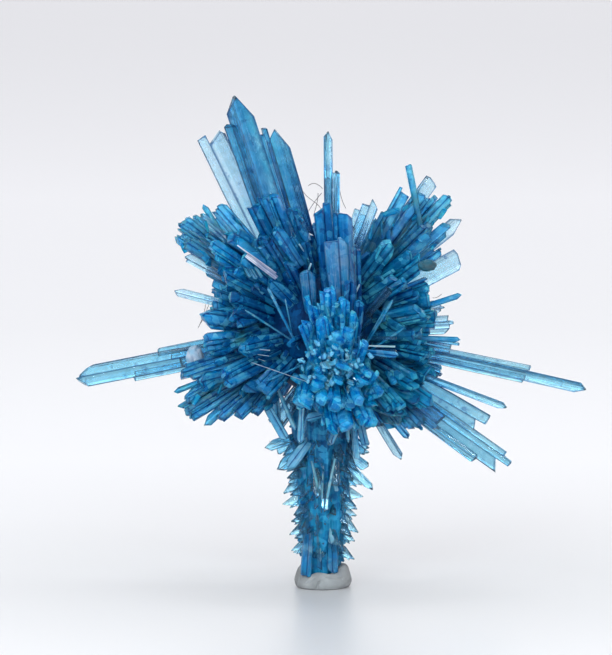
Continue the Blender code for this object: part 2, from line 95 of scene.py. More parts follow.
# Light, camera and floor
studio = {
    "photoSize": (612, 655),
    "mmPerPixel": 0.08,
    "heartPixel": (323, 330),
    "cameraRise": 5.0,  # degrees above level
    "cameraDistance": 0.5,
    "gamma": 0.82,  # under 1 for deeper blues
    "bounces": {"max_bounces": 16, "transmission_bounces": 16, "glossy_bounces": 6, "diffuse_bounces": 3,
                "volume_bounces": 0, "caustics_reflective": False},
    "floorRadius": 2.6,
    "floorSides": 96,
    "floorLook": {"Base Color": (0.50, 0.50, 0.51), "Roughness": 0.35, "Specular IOR Level": 0.1},
    # Painted light on the floor: the glow that it emits, lowest round the specimen as painted shadow
    "floorGlowAndPaintedShadow": ((0.0, 0.16), (0.13, 0.12), (0.17, 0.15), (0.21, 0.19), (0.30, 0.27), (0.43, 0.28),
                  (0.56, 0.35), (0.76, 0.31), (1.0, 0.28)),
    "glowRadius": 2.0,
    "glowPower": 0.4,  # under 1 brings the glow's first steps close to the specimen
    "backdrop": (0.79, 0.78, 0.81),
    "airSteps": ((0.0, 0.22), (0.42, 0.30), (0.62, 0.62), (0.80, 0.95), (1.0, 1.0)),
    "lightTarget": (0.0, 0.0, 0.02),
    "fillTint": (0.86, 0.98, 1.0),
    # Place, size and watts
    "softboxes": {
        "overheadSoftbox": ((0.02, 0.05, 0.42), (0.30, 0.22), 0.46),
        "leftSoftbox": ((-0.38, -0.16, 0.16), (0.12, 0.3), 0.42),
        "rightSoftbox": ((0.40, -0.02, 0.14), (0.1, 0.3), 0.34),
        "backSoftbox": ((0.2, 1.7, 0.75), (1.1, 0.7), 2.4),
        "frontFill": ((-0.05, -0.62, 0.2), (0.6, 0.4), 4.6),
        "glintLeft": ((-0.17, -0.30, 0.27), (0.05, 0.05), 0.16),
        "glintRight": ((0.20, -0.26, 0.24), (0.04, 0.06), 0.12),
    },
}


def aim(thing, place, target):
    direction = np.array(target) - np.array(place)
    thing.location = place
    flat = math.hypot(direction[0], direction[1])
    thing.rotation_euler = (math.atan2(flat, -direction[2]), 0.0, math.atan2(-direction[0], direction[1]))


def addCamera():
    wide, high = studio["photoSize"]
    pixel = studio["mmPerPixel"] * mm
    reach = studio["cameraDistance"]
    data = bpy.data.cameras.new("photoCamera")
    data.lens = data.sensor_width * reach / (high * pixel)
    data.clip_start, data.clip_end = 0.01, 20.0
    offX = (wide / 2 - studio["heartPixel"][0]) * pixel
    offZ = (studio["heartPixel"][1] - high / 2) * pixel
    target = (offX, 0.0, heart[2] * mm + offZ)
    rise = math.radians(studio["cameraRise"])
    camera = inScene("photoCamera", data)
    aim(camera, (offX, -reach * math.cos(rise), target[2] + reach * math.sin(rise)), target)
    bpy.context.scene.camera = camera


def addSoftboxes():
    # The front fill is slightly blue and leaves no glints
    for name, (place, size, watts) in studio["softboxes"].items():
        data = bpy.data.lights.new(name, "AREA")
        data.shape = "RECTANGLE"
        data.size, data.size_y = size
        data.energy = watts
        box = inScene(name, data)
        if name == "frontFill":
            data.color = studio["fillTint"]
            box.visible_glossy = False
        aim(box, place, studio["lightTarget"])


def buildWorld():
    # Seen directly it is plain. Crystals see it bright behind the specimen and darker beside it and over the
    # camera, so that their edges draw dark lines: level = ramp of the direction's Y
    world = bpy.data.worlds.new("studioAir")
    world.use_nodes = True
    tree = world.node_tree
    tree.nodes.clear()
    out = nodeOf(tree, "ShaderNodeOutputWorld")
    shade = nodeOf(tree, "ShaderNodeBackground")
    plain = nodeOf(tree, "ShaderNodeBackground", Color=(*studio["backdrop"], 1.0))
    pick = nodeOf(tree, "ShaderNodeMixShader")
    path = nodeOf(tree, "ShaderNodeLightPath")
    where = nodeOf(tree, "ShaderNodeTexCoord")
    split = nodeOf(tree, "ShaderNodeSeparateXYZ")
    half = nodeOf(tree, "ShaderNodeMapRange")
    half.inputs["From Min"].default_value = -1.0
    ramp = rampOf(tree, studio["airSteps"], 1.02)
    link(tree, where.outputs["Generated"], split.inputs[0])
    link(tree, split.outputs["Y"], half.inputs["Value"])
    link(tree, half.outputs["Result"], ramp.inputs["Fac"])
    link(tree, ramp.outputs["Color"], shade.inputs["Color"])
    link(tree, path.outputs["Is Camera Ray"], pick.inputs["Fac"])
    link(tree, shade.outputs[0], pick.inputs[1])
    link(tree, plain.outputs[0], pick.inputs[2])
    link(tree, pick.outputs[0], out.inputs["Surface"])
    bpy.context.scene.world = world


def buildFloor():
    # A plain disc that glows with painted light, greyer close to the specimen as painted shadow, palest some
    # way behind it
    # and a little greyer again far off: glow = ramp of (distance / glowRadius) to the glowPower
    sides = studio["floorSides"]
    angle = np.linspace(0, 2 * np.pi, sides, endpoint=False)
    rim = np.stack([np.cos(angle), np.sin(angle), np.zeros(sides)], 1) * studio["floorRadius"]
    mesh = bpy.data.meshes.new("studioFloor")
    mesh.from_pydata(rim.tolist(), [], [list(range(sides))])
    floor = inScene("studioFloor", mesh)
    finish, tree, shader = newFinish("paleFloor")
    fill(shader, studio["floorLook"])
    shader.inputs["Emission Strength"].default_value = 1.0
    where = nodeOf(tree, "ShaderNodeTexCoord")
    far = nodeOf(tree, "ShaderNodeVectorMath", operation="LENGTH")
    spread = nodeOf(tree, "ShaderNodeMapRange")
    spread.inputs["From Max"].default_value = studio["glowRadius"]
    power = nodeOf(tree, "ShaderNodeMath", operation="POWER")
    power.inputs[1].default_value = studio["glowPower"]
    ramp = rampOf(tree, studio["floorGlowAndPaintedShadow"], 1.06)
    link(tree, where.outputs["Object"], far.inputs[0])
    link(tree, far.outputs["Value"], spread.inputs["Value"])
    link(tree, spread.outputs["Result"], power.inputs[0])
    link(tree, power.outputs[0], ramp.inputs["Fac"])
    link(tree, ramp.outputs["Color"], shader.inputs["Emission Color"])
    mesh.materials.append(finish)


bpy.context.scene.view_settings.view_transform = "Standard"
bpy.context.scene.view_settings.gamma = studio["gamma"]
for name, value in studio["bounces"].items():
    setattr(bpy.context.scene.cycles, name, value)
addCamera()
buildWorld()
buildFloor()
addSoftboxes()
print("pentagonite: studio ready")

# Crystal surfaces
# Planes that end a crystal: fall across the width, fall through the thickness, height over the tip in widths
ends = {
    "flat": ((-0.14, 0.12, 0.0), (1.4, 0.1, 0.42)),
    "chisel": ((0.1, 0.9, 0.06), (0.05, -1.0, 0.06), (1.5, 0.0, 0.4), (-1.3, 0.0, 0.5)),
    "spear": ((2.3, 0.4, 0.14), (-1.1, -0.3, -0.04), (0.0, 1.3, 0.15), (-0.1, -1.2, 0.15)),
    "slant": ((0.9, 0.1, -0.04), (-0.7, 0.3, 0.08), (-0.1, -1.3, 0.25)),
    "point": ((2.6, 0.3, 0.1), (-2.4, -0.3, 0.1), (0.0, 2.2, 0.1), (-0.1, -2.2, 0.1)),
}
blades = {
    "rootRadius": 4.3,  # mm from the heart where a head crystal starts
    "rootShare": 0.8,  # its width there
    "taperRate": 1.6,  # it is full wide after one over this of its length
    "sideRows": (0.0, 0.22, 0.4, 0.54, 0.66, 0.76, 0.85, 0.925, 0.975, 1.0),
    "plainRows": (0.0, 0.5, 0.93, 1.0),
    "acrossEnd": 5,  # steps from the front face to the back face over the end
    "evenness": 6.0,  # higher makes the laths of a crystal more alike in width
    "groove": 0.16,  # how far the line between two laths cuts in, as a share of the thickness
    "grooveWidth": 0.014,  # mm
    "shoulder": (0.16, 0.3),  # share of a lath's width that slopes, on each side
    "ridgeShare": 0.46,  # a single sharp crystal's faces meet near its middle in a ridge
    "edgeFrom": 0.35,  # laths thin from this share of the half width outwards
    "edgeThinning": 0.62,
    "lathThickness": (0.82, 1.0),
    "outerDrop": 0.25,  # most that an outer lath is shorter, in widths
    "topTilt": 0.7,
    "topRidge": (0.1, 0.7),
    "growthChance": 0.3,  # a face drops a little at some rows, so it thins towards its end
    "growthStep": (0.02, 0.09),
    "growthMost": 0.35,
    "patternShift": 400,  # mm that the growth lines move at most, so that no two crystals match
    "paleFrom": 5.5,  # mm from the heart where the colour turns from root to tip, and where it is all tip
    "paleTo": 14.5,
}


def rootOf(root):
    return heart if root is None else np.array(root, float)


def startOf(root, tip):
    # The root slides along the crystal until it is rootRadius from the heart
    along = unit(tip - root)
    back = root - heart
    if np.linalg.norm(back) > blades["rootRadius"]:
        return root
    half = back @ along
    return root + along * (math.sqrt(half * half - back @ back + blades["rootRadius"] ** 2) - half)


def axesOf(root, tip, turn):
    along = unit(tip - root)
    facing = np.array((0.0, -1.0, 0.0))
    if abs(along @ facing) > 0.92:
        facing = np.array((1.0, 0.0, 0.0))
    across = unit(np.cross(along, facing))
    cosine, sine = math.cos(math.radians(turn)), math.sin(math.radians(turn))
    across = across * cosine + np.cross(along, across) * sine
    return along, across, np.cross(along, across)


def finishSkin(points, tris, uv, rim=None):
    # Turns the triangles round where the volume that they enclose comes out negative
    first, second, third = (points[tris[:, n]] - points.mean(0) for n in range(3))
    if np.einsum("ij,ij->", first, np.cross(second, third)) < 0:
        tris = tris[:, ::-1]
    return points, tris, uv, np.zeros(len(points)) if rim is None else rim


def halved(quads):
    return np.concatenate([quads[:, [0, 1, 2]], quads[:, [0, 2, 3]]])


def ringSkin(rings, ends, acrossUv):
    # Rings of points joined into a skin, closed to a point at both ends; the UV runs round and up
    rows, sides = rings.shape[:2]
    index = np.arange(rows * sides).reshape(rows, sides)
    following = np.roll(index, -1, 1)
    quads = np.stack([index[:-1], following[:-1], following[1:], index[1:]], -1).reshape(-1, 4)
    low = np.full(sides, rows * sides)
    tris = np.concatenate([halved(quads), np.stack([low, following[0], index[0]], 1),
                           np.stack([low + 1, index[-1], following[-1]], 1)])
    points = np.concatenate([rings.reshape(-1, 3), ends])
    uv = np.stack([np.concatenate([np.tile(acrossUv, rows), [0, 0]]), points[:, 2]], 1)
    return finishSkin(points, tris, uv)


# One generator feeds every surface, in order
shape = np.random.default_rng(5)


def bladeSkin(tip, width, thick, turn, end, root, laths, ledges=0.5, fine=True):
    # Columns run from the left edge to the right one, four to a lath. Rows climb the front face, cross the
    # end and come down the back face. A point on a face is (x, +-y(x)) times the taper at its row, raised by
    # row times h, where y is the lath's own height and h(x, y) the least of the end's planes and the lath's
    # slanted top.
    tip = np.array(tip, float)
    root = startOf(rootOf(root), tip)
    along, across, through = axesOf(root, tip, turn)
    length = np.linalg.norm(tip - root)
    share = shape.dirichlet(np.full(laths, blades["evenness"])) if laths > 1 else np.ones(1)
    cuts = np.concatenate([[0.0], np.cumsum(share)]) * width - width / 2
    left, right = cuts[:-1], cuts[1:]
    wide = right - left
    gap = min(blades["grooveWidth"], 0.2 * wide.min())
    lean = shape.uniform(*blades["shoulder"], (2, laths)) * wide
    if laths == 1 and end in ("point", "spear"):
        lean[:] = blades["ridgeShare"] * wide
    x = np.stack([left + gap, left + gap + lean[0], right - gap - lean[1], right - gap], 1).ravel()
    outer = np.clip((np.abs((left + right) / width) - blades["edgeFrom"]) / (1 - blades["edgeFrom"]), 0, 1)
    body = thick / 2 * (1 - blades["edgeThinning"] * outer)

    def faceHeights():
        rise = body * shape.uniform(*blades["lathThickness"], laths)
        side = np.minimum(rise[:-1], rise[1:]) * (1 - blades["groove"]) if laths > 1 else np.zeros(0)
        return np.stack([np.concatenate([[0.0], side]), rise, rise, np.concatenate([side, [0.0]])], 1).ravel()

    front = faceHeights()
    behind = faceHeights()
    centre = (left + right) / 2
    reachOut = np.abs(centre) / (width / 2)
    drop = shape.uniform(0, 1, laths) ** 2 * ledges * width
    drop += reachOut * shape.uniform(0, blades["outerDrop"], laths) * width
    drop -= drop.min()
    tilt = shape.uniform(-blades["topTilt"], blades["topTilt"], laths)
    ridge = shape.uniform(*blades["topRidge"], laths)

    def height(aside, deep, lath):
        value = length - drop[lath] - tilt[lath] * (aside - centre[lath]) - ridge[lath] * np.abs(deep)
        value = np.minimum(value, length)
        for fallX, fallY, rise in ends[end]:
            value = np.minimum(value, length + rise * width - fallX * aside - fallY * deep)
        return value

    lath = np.repeat(np.arange(laths), 4)
    rows = np.array(blades["sideRows"] if fine else blades["plainRows"])[:, None]
    count = len(rows)
    taper = blades["rootShare"] + (1 - blades["rootShare"]) * np.minimum(rows * blades["taperRate"], 1)

    def kept():
        # Share of the thickness that a face still has at each row
        steps = shape.random((count, laths)) < blades["growthChance"]
        lost = np.cumsum(steps * shape.uniform(*blades["growthStep"], (count, laths)), 0)
        return 1 - np.minimum(lost, blades["growthMost"])[:, lath]

    frontY = front * taper * kept()
    backY = -behind * taper * kept()
    sideX = x * taper
    over = np.linspace(0, 1, blades["acrossEnd"] + 1 if fine else 3)[1:-1, None]
    capX = np.repeat(x[None], len(over), 0)
    capY = frontY[-1] * (1 - over) + backY[-1] * over
    capZ = height(capX, capY, np.repeat(lath[None], len(over), 0))
    # The rim is 1 on a lath's edges and round its end, and 0 on its faces; the finish darkens it there as
    # painted shade
    sides = np.tile([1.0, 0.0, 0.0, 1.0], laths)[None].repeat(count, 0)
    sides[-1] = 1.0
    rim = np.concatenate([sides, np.zeros(capX.shape), sides[::-1]]).ravel()
    gridX = np.concatenate([sideX, capX, sideX[::-1]])
    gridY = np.concatenate([frontY, capY, backY[::-1]])
    backZ = rows * height(x, backY[-1], lath)
    gridZ = np.concatenate([rows * height(x, frontY[-1], lath), capZ, backZ[::-1]])
    tall, columns = gridX.shape
    index = np.arange(tall * columns).reshape(tall, columns)
    # The first and last columns have no thickness, so their front, end and back points are one point each
    for column in (0, columns - 1):
        index[count:tall - count, column] = index[count - 1, column]
        index[tall - count:, column] = index[:count, column][::-1]
    quads = np.stack([index[:-1, :-1], index[:-1, 1:], index[1:, 1:], index[1:, :-1]], -1).reshape(-1, 4)
    foot = np.stack([index[-1, :-1], index[-1, 1:], index[0, 1:], index[0, :-1]], -1)
    tris = halved(np.concatenate([quads, foot]))
    whole = (tris[:, 0] != tris[:, 1]) & (tris[:, 1] != tris[:, 2]) & (tris[:, 0] != tris[:, 2])
    local = np.stack([gridX, gridY, gridZ], -1).reshape(-1, 3)
    points = root + local[:, :1] * across + local[:, 1:2] * through + local[:, 2:] * along
    shift = shape.uniform(0, blades["patternShift"])
    uv = np.stack([local[:, 0] + shift, local[:, 2] + shift * 0.37], 1)
    used, inverse = np.unique(tris[whole], return_inverse=True)
    return finishSkin(points[used], inverse.reshape(-1, 3), uv[used], rim[used])


def skinsOf(rows, ledges=0.5):
    return [bladeSkin(*row, ledges) for row in rows]


def makePiece(name, skins, material, node="pentagonite_crystals", smooth=False):
    # Joins skins into one mesh, with the growth UV, "rim" for the painted edge shade, and "reach" from 0, all
    # root colour, to 1, all tip
    sizes = np.cumsum([0] + [len(skin[0]) for skin in skins[:-1]])
    points, uv, rim = (np.concatenate([skin[n] for skin in skins]) for n in (0, 2, 3))
    tris = np.concatenate([skin[1] + start for skin, start in zip(skins, sizes)])
    mesh = bpy.data.meshes.new(name)
    mesh.vertices.add(len(points))
    mesh.loops.add(tris.size)
    mesh.polygons.add(len(tris))
    mesh.vertices.foreach_set("co", (points * mm).astype(np.float32).ravel())
    mesh.loops.foreach_set("vertex_index", tris.astype(np.int32).ravel())
    mesh.polygons.foreach_set("loop_start", np.arange(0, tris.size, 3, dtype=np.int32))
    mesh.uv_layers.new(name="growth").data.foreach_set("uv", uv[tris.ravel()].astype(np.float32).ravel())
    away = np.linalg.norm(points - heart, axis=1) - blades["paleFrom"]
    reach = np.clip(away / (blades["paleTo"] - blades["paleFrom"]), 0, 1)
    for title, values in (("reach", reach), ("rim", rim)):
        mesh.attributes.new(title, "FLOAT", "POINT").data.foreach_set("value", values.astype(np.float32))
    mesh.update(calc_edges=True)
    if smooth:
        mesh.shade_smooth()
    else:
        mesh.shade_flat()
    mesh.materials.append(material)
    piece = inScene(name, mesh)
    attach(piece, "root")
    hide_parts(node)
    print(f"pentagonite: {name}, {len(tris)} triangles")


# Crystal finishes
def newGroup(name, inputs, outputs):
    # An empty node group with its sockets: a colour where the name says so, else a value
    group = bpy.data.node_groups.new(name, "ShaderNodeTree")
    for way, titles in (("INPUT", inputs), ("OUTPUT", outputs)):
        for title in titles:
            kind = "NodeSocketColor" if "Colour" in title else "NodeSocketFloat"
            group.interface.new_socket(name=title, in_out=way, socket_type=kind)
    return group, nodeOf(group, "NodeGroupInput").outputs, nodeOf(group, "NodeGroupOutput").inputs


def mixed(tree, factor, first, second, blend="MIX"):
    # Colour between two others, the second from a socket or a plain one
    made = nodeOf(tree, "ShaderNodeMix", data_type="RGBA", blend_type=blend)
    link(tree, factor, made.inputs["Factor"])
    link(tree, first, made.inputs["A"])
    if isinstance(second, tuple):
        fill(made, {"B": second})
    else:
        link(tree, second, made.inputs["B"])
    return made.outputs["Result"]


def stepped(tree, value, span, amount=None):
    # 0 at the span's start, 1 at its end, smooth between, times the amount
    made = nodeOf(tree, "ShaderNodeMapRange", interpolation_type="SMOOTHSTEP")
    fill(made, {"From Min": span[0], "From Max": span[1]})
    link(tree, value, made.inputs["Value"])
    if amount is None:
        return made.outputs[0]
    times = nodeOf(tree, "ShaderNodeMath", operation="MULTIPLY")
    link(tree, made.outputs[0], times.inputs[0])
    link(tree, amount, times.inputs[1])
    return times.outputs[0]


colourNames = ("Tip Colour", "Root Colour", "Veil Colour")
# What a crystal's finish has where it says nothing else. Capitalised names are the growth group's inputs.
plainCrystal = {
    "colours": ((0.02, 0.57, 0.93), (0.0, 0.18, 0.5), (0.22, 0.78, 1.0)), "Veil Amount": 0.5,
    "Veil Scale": 600.0, "Streak Amount": 0.3, "Line Scale": 5.0, "Spot Amount": 0.4, "Fleck Amount": 0.6,
    "Patch Amount": 0.2, "Patch Scale": 2000.0, "Rim Amount": 0.8, "Roughness": 0.12, "Veil Roughness": 0.3,
    "lineStrength": 0.7, "clear": 0.55, "specular": 0.5, "glow": 1.0, "glowDepth": 0.6,
    "absorbColour": (0.0, 0.54, 0.84), "absorbDensity": 300.0,
}
growthLook = {
    "stretch": (1.0, 0.06, 1.0),  # draws the noise out along the crystal
    "warp": 0.0009,
    "spotScale": 900.0,
    "fleckScale": 1500.0,
    "deepTint": (0.15, 0.45, 0.62),
    "fleckTint": (0.2, 0.35, 0.6),
    # The rim's tint is painted shade: a dark line along every lath's edges and end
    "rimPaintedShadeTint": (0.05, 0.22, 0.42),
    # Where each mask starts and where it is full
    "streak": (0.46, 0.70), "veil": (0.50, 0.66), "pale": (0.62, 0.95), "spot": (0.20, 0.12),
    "deep": (0.45, 0.85), "fleck": (0.66, 0.72), "rim": (0.55, 1.0),
}


def growthGroup(look):
    # Colour: root to tip, then pale streaks along the growth UV, veils, facet-like patches and round spots on
    # Object coordinates, darker patches, a few dark flecks and the rim's painted shade: a dark line on edges
    # and
    # ends. Height: the same streaks.
    sockets = [*colourNames, *(name for name in plainCrystal if name[0].isupper())]
    group, given, result = newGroup("growthLines", sockets, ("Colour", "Roughness", "Height"))
    uv = nodeOf(group, "ShaderNodeUVMap", uv_map="growth")
    stretch = nodeOf(group, "ShaderNodeVectorMath", operation="MULTIPLY")
    stretch.inputs[1].default_value = look["stretch"]
    lines = nodeOf(group, "ShaderNodeTexNoise", Detail=3.0, Roughness=0.6)
    where = nodeOf(group, "ShaderNodeTexCoord").outputs["Object"]
    veils = nodeOf(group, "ShaderNodeTexNoise", Detail=4.0, Distortion=0.8)
    spots = nodeOf(group, "ShaderNodeTexVoronoi", Scale=look["spotScale"])
    flecks = nodeOf(group, "ShaderNodeTexNoise", Scale=look["fleckScale"], Detail=1.0)
    patches = nodeOf(group, "ShaderNodeTexVoronoi")
    chances = nodeOf(group, "ShaderNodeSeparateColor")
    reach = nodeOf(group, "ShaderNodeAttribute", attribute_name="reach")
    rim = nodeOf(group, "ShaderNodeAttribute", attribute_name="rim")
    warp = nodeOf(group, "ShaderNodeVectorMath", operation="MULTIPLY_ADD")
    warp.inputs[1].default_value = (look["warp"],) * 3
    rough = nodeOf(group, "ShaderNodeMix", data_type="FLOAT")
    link(group, uv.outputs[0], stretch.inputs[0])
    link(group, stretch.outputs[0], lines.inputs["Vector"])
    link(group, given["Line Scale"], lines.inputs["Scale"])
    for texture in (veils, spots, flecks):
        link(group, where, texture.inputs["Vector"])
    link(group, given["Veil Scale"], veils.inputs["Scale"])
    link(group, veils.outputs["Color"], warp.inputs[0])
    link(group, where, warp.inputs[2])
    link(group, warp.outputs[0], patches.inputs["Vector"])
    link(group, given["Patch Scale"], patches.inputs["Scale"])
    link(group, patches.outputs["Color"], chances.inputs[0])
    streak = stepped(group, lines.outputs[0], look["streak"], given["Streak Amount"])
    veil = stepped(group, veils.outputs[0], look["veil"], given["Veil Amount"])
    pale = stepped(group, chances.outputs[0], look["pale"], given["Patch Amount"])
    spot = stepped(group, spots.outputs["Distance"], look["spot"], given["Spot Amount"])
    deep = stepped(group, chances.outputs[1], look["deep"], given["Patch Amount"])
    fleck = stepped(group, flecks.outputs[0], look["fleck"], given["Fleck Amount"])
    # Painted shade: the rim mask darkens the edges and ends into dark outlines
    edge = stepped(group, rim.outputs["Fac"], look["rim"], given["Rim Amount"])
    colour = mixed(group, reach.outputs["Fac"], given["Root Colour"], given["Tip Colour"])
    for share in (streak, veil, pale, spot):
        colour = mixed(group, share, colour, given["Veil Colour"])
    for share, tint in ((deep, "deepTint"), (fleck, "fleckTint"), (edge, "rimPaintedShadeTint")):
        colour = mixed(group, share, colour, look[tint], "MULTIPLY")
    link(group, veil, rough.inputs["Factor"])
    link(group, given["Roughness"], rough.inputs["A"])
    link(group, given["Veil Roughness"], rough.inputs["B"])
    link(group, colour, result["Colour"])
    link(group, rough.outputs["Result"], result["Roughness"])
    link(group, lines.outputs[0], result["Height"])
    return group


def wear(tree, shader, pattern, strength, depth):
    # The pattern's colour and its raised lines, depth mm high, on the shader
    bump = nodeOf(tree, "ShaderNodeBump", Strength=strength, Distance=depth * mm)
    link(tree, pattern.outputs["Colour"], shader.inputs["Base Color"])
    link(tree, pattern.outputs["Height"], bump.inputs["Height"])
    link(tree, bump.outputs["Normal"], shader.inputs["Normal"])


growth = growthGroup(growthLook)


def crystalFinish(name, changes):
    # Blue glass: colour is taken up along the light's way through it. The surface's own colour, roughness
    # and lines come from the growth group.
    look = {**plainCrystal, **changes}
    finish, tree, shader = newFinish(name)
    lines = nodeOf(tree, "ShaderNodeGroup", node_tree=growth)
    look.update(zip(colourNames, look["colours"]))
    fill(lines, {socket.name: look[socket.name] for socket in lines.inputs})
    fill(shader, {"IOR": 1.545, "Specular IOR Level": look["specular"], "Transmission Weight": look["clear"],
                  "Subsurface Weight": look["glow"], "Subsurface Scale": look["glowDepth"] * mm})
    shader.inputs["Subsurface Radius"].default_value = (0.4, 0.8, 0.9)
    link(tree, lines.outputs["Roughness"], shader.inputs["Roughness"])
    wear(tree, shader, lines, look["lineStrength"], 0.06)
    if look["absorbDensity"]:
        takeUp = nodeOf(tree, "ShaderNodeVolumeAbsorption", Density=look["absorbDensity"])
        fill(takeUp, {"Color": look["absorbColour"]})
        link(tree, takeUp.outputs[0], tree.nodes["Material Output"].inputs["Volume"])
    return finish


finishes = {
    "fanBlade": {
        "colours": ((0.24, 0.75, 0.92), (0.0, 0.19, 0.47), (0.7, 0.92, 1.0)), "Veil Amount": 0.4,
        "Line Scale": 6.0, "Patch Amount": 0.45, "Roughness": 0.04, "lineStrength": 0.5, "clear": 0.9,
        "glow": 0.0, "absorbColour": (0.0, 0.6, 0.82), "absorbDensity": 2500.0},
    "clearBlade": {
        "colours": ((0.7, 0.91, 0.97), (0.0, 0.45, 0.74), (0.8, 0.93, 1.0)), "Veil Amount": 0.3,
        "Line Scale": 6.0, "Roughness": 0.04, "lineStrength": 0.5, "clear": 0.9, "glow": 0.0,
        "absorbColour": (0.0, 0.62, 0.8), "absorbDensity": 1700.0},
    "paleBlade": {
        "colours": ((0.8, 0.94, 0.98), (0.5, 0.85, 0.98), (0.88, 0.92, 1.0)), "Line Scale": 7.0,
        "Patch Amount": 0.15, "Roughness": 0.06, "lineStrength": 0.5, "clear": 0.88, "glow": 0.0,
        "absorbColour": (0.0, 0.54, 0.8), "absorbDensity": 900.0},
    "bunchTip": {
        "colours": ((0.2, 0.73, 1.0), (0.0, 0.28, 0.7), (0.4, 0.86, 1.0)), "Veil Amount": 0.35,
        "Patch Amount": 0.5, "Roughness": 0.06, "clear": 0.76, "specular": 0.4,
        "absorbColour": (0.0, 0.58, 0.86), "absorbDensity": 420.0},
    "bunchBlade": {
        "Veil Amount": 0.35, "Patch Amount": 0.6, "Roughness": 0.08, "specular": 0.2,
        "absorbColour": (0.0, 0.54, 0.86)},
    "footBlade": {
        "colours": ((0.01, 0.42, 0.76), (0.0, 0.13, 0.4), (0.12, 0.62, 0.88)), "Veil Amount": 0.3,
        "Patch Amount": 0.6, "Roughness": 0.08, "specular": 0.2, "absorbColour": (0.0, 0.54, 0.86)},
    "tealBlade": {
        "colours": ((0.02, 0.64, 0.92), (0.0, 0.18, 0.44), (0.2, 0.8, 0.98)), "Veil Amount": 0.35,
        "Patch Amount": 0.6, "Roughness": 0.08, "specular": 0.2, "absorbColour": (0.0, 0.56, 0.84)},
    "hazyBlade": {
        "colours": ((0.0, 0.45, 0.82), (0.0, 0.29, 0.66), (0.2, 0.68, 0.96)), "Patch Amount": 0.6,
        "Patch Scale": 2600.0, "Rim Amount": 0.5, "Roughness": 0.22, "clear": 0.38, "specular": 0.3,
        "glowDepth": 1.2, "absorbColour": (0.0, 0.5, 0.9), "absorbDensity": 150.0},
    # Pale crystals under the haze, and on the tiny spots a painted sparkle of highlights
    "paleHazeAndPaintedSparkle": {
        "colours": ((0.24, 0.6, 0.9), (0.12, 0.5, 0.86), (0.44, 0.72, 0.94)), "Rim Amount": 0.3,
        "lineStrength": 0.5, "clear": 0.3, "absorbColour": (0.0, 0.5, 0.9), "absorbDensity": 150.0},
    "darkBlade": {
        "colours": ((0.0, 0.3, 0.58), (0.0, 0.08, 0.28), (0.04, 0.46, 0.74)), "Veil Amount": 0.3,
        "Patch Amount": 0.6, "Roughness": 0.1, "clear": 0.5, "specular": 0.15,
        "absorbColour": (0.0, 0.5, 0.84), "absorbDensity": 400.0},
    # Near black and opaque: painted shade for the deep gaps between the crystals, where this core shows
    "shadedDenseCore": {
        "colours": ((0.0, 0.05, 0.16), (0.0, 0.03, 0.1), (0.0, 0.1, 0.26)), "Veil Amount": 0.3,
        "Line Scale": 4.0, "Patch Amount": 0.5, "Roughness": 0.5, "lineStrength": 0.6, "clear": 0.0,
        "specular": 0.1, "glow": 0.0, "absorbColour": (0.0, 0.4, 0.8), "absorbDensity": 0.0},
    "stalkCore": {
        "colours": ((0.0, 0.25, 0.45), (0.0, 0.08, 0.25), (0.06, 0.45, 0.68)), "Veil Amount": 0.6,
        "Streak Amount": 0.6, "Line Scale": 4.0, "Patch Amount": 0.5, "lineStrength": 0.8, "clear": 0.2,
        "specular": 0.3, "absorbColour": (0.0, 0.5, 0.85), "absorbDensity": 200.0},
    "stalkBlade": {
        "colours": ((0.05, 0.45, 0.78), (0.0, 0.28, 0.56), (0.42, 0.76, 0.96)), "Line Scale": 6.0,
        "Patch Amount": 0.5, "Roughness": 0.07, "lineStrength": 0.6, "clear": 0.7, "absorbDensity": 500.0},
    "thornBlade": {
        "colours": ((0.56, 0.86, 0.97), (0.36, 0.78, 0.97), (0.5, 0.84, 0.98)), "Veil Amount": 0.15,
        "Line Scale": 6.0, "Rim Amount": 0.55, "Roughness": 0.05, "lineStrength": 0.8, "clear": 0.93,
        "specular": 0.2, "glow": 0.0, "absorbColour": (0.0, 0.6, 0.86), "absorbDensity": 260.0},
    "palePrism": {
        "colours": ((0.26, 0.56, 0.76), (0.12, 0.46, 0.72), (0.55, 0.76, 0.88)), "Line Scale": 8.0,
        "lineStrength": 0.8, "clear": 0.4},
    "needleBlade": {
        "colours": ((0.08, 0.42, 0.66), (0.0, 0.26, 0.56), (0.4, 0.7, 0.86)), "Veil Amount": 0.4,
        "Line Scale": 6.0, "lineStrength": 0.5, "clear": 0.35},
    # Near-white thin laths: their paleness is painted glints
    "brightLath": {
        "colours": ((0.46, 0.7, 0.85), (0.4, 0.66, 0.84), (0.76, 0.86, 0.94)), "Line Scale": 8.0,
        "Patch Amount": 0.0, "Rim Amount": 0.5, "Roughness": 0.15, "lineStrength": 0.6, "clear": 0.3,
        "absorbDensity": 200.0},
    "lavenderBlade": {
        "colours": ((0.28, 0.66, 0.84), (0.0, 0.34, 0.68), (0.4, 0.62, 0.8)), "Streak Amount": 0.6,
        "Line Scale": 8.0, "Patch Amount": 0.3, "Roughness": 0.15, "lineStrength": 0.8,
        "absorbColour": (0.0, 0.5, 0.82), "absorbDensity": 600.0},
    # Milky, and partly a painted reflection: a light's pale sheen on a flat face
    "milkyLath": {
        "colours": ((0.3, 0.34, 0.48), (0.3, 0.34, 0.48), (0.72, 0.7, 0.76)), "Veil Amount": 0.7,
        "Streak Amount": 0.9, "Line Scale": 9.0, "Fleck Amount": 0.2, "Patch Amount": 0.0, "Roughness": 0.3,
        "lineStrength": 1.0, "clear": 0.15, "glow": 0.0, "absorbColour": (1.0, 1.0, 1.0),
        "absorbDensity": 0.0},
}
glass = {name: crystalFinish(name, look) for name, look in finishes.items()}
print("pentagonite: finishes ready")


def makeBlades(ledges, **tables):
    for name, table in tables.items():
        makePiece(name, skinsOf(table["rows"], ledges), glass[table["finish"]])


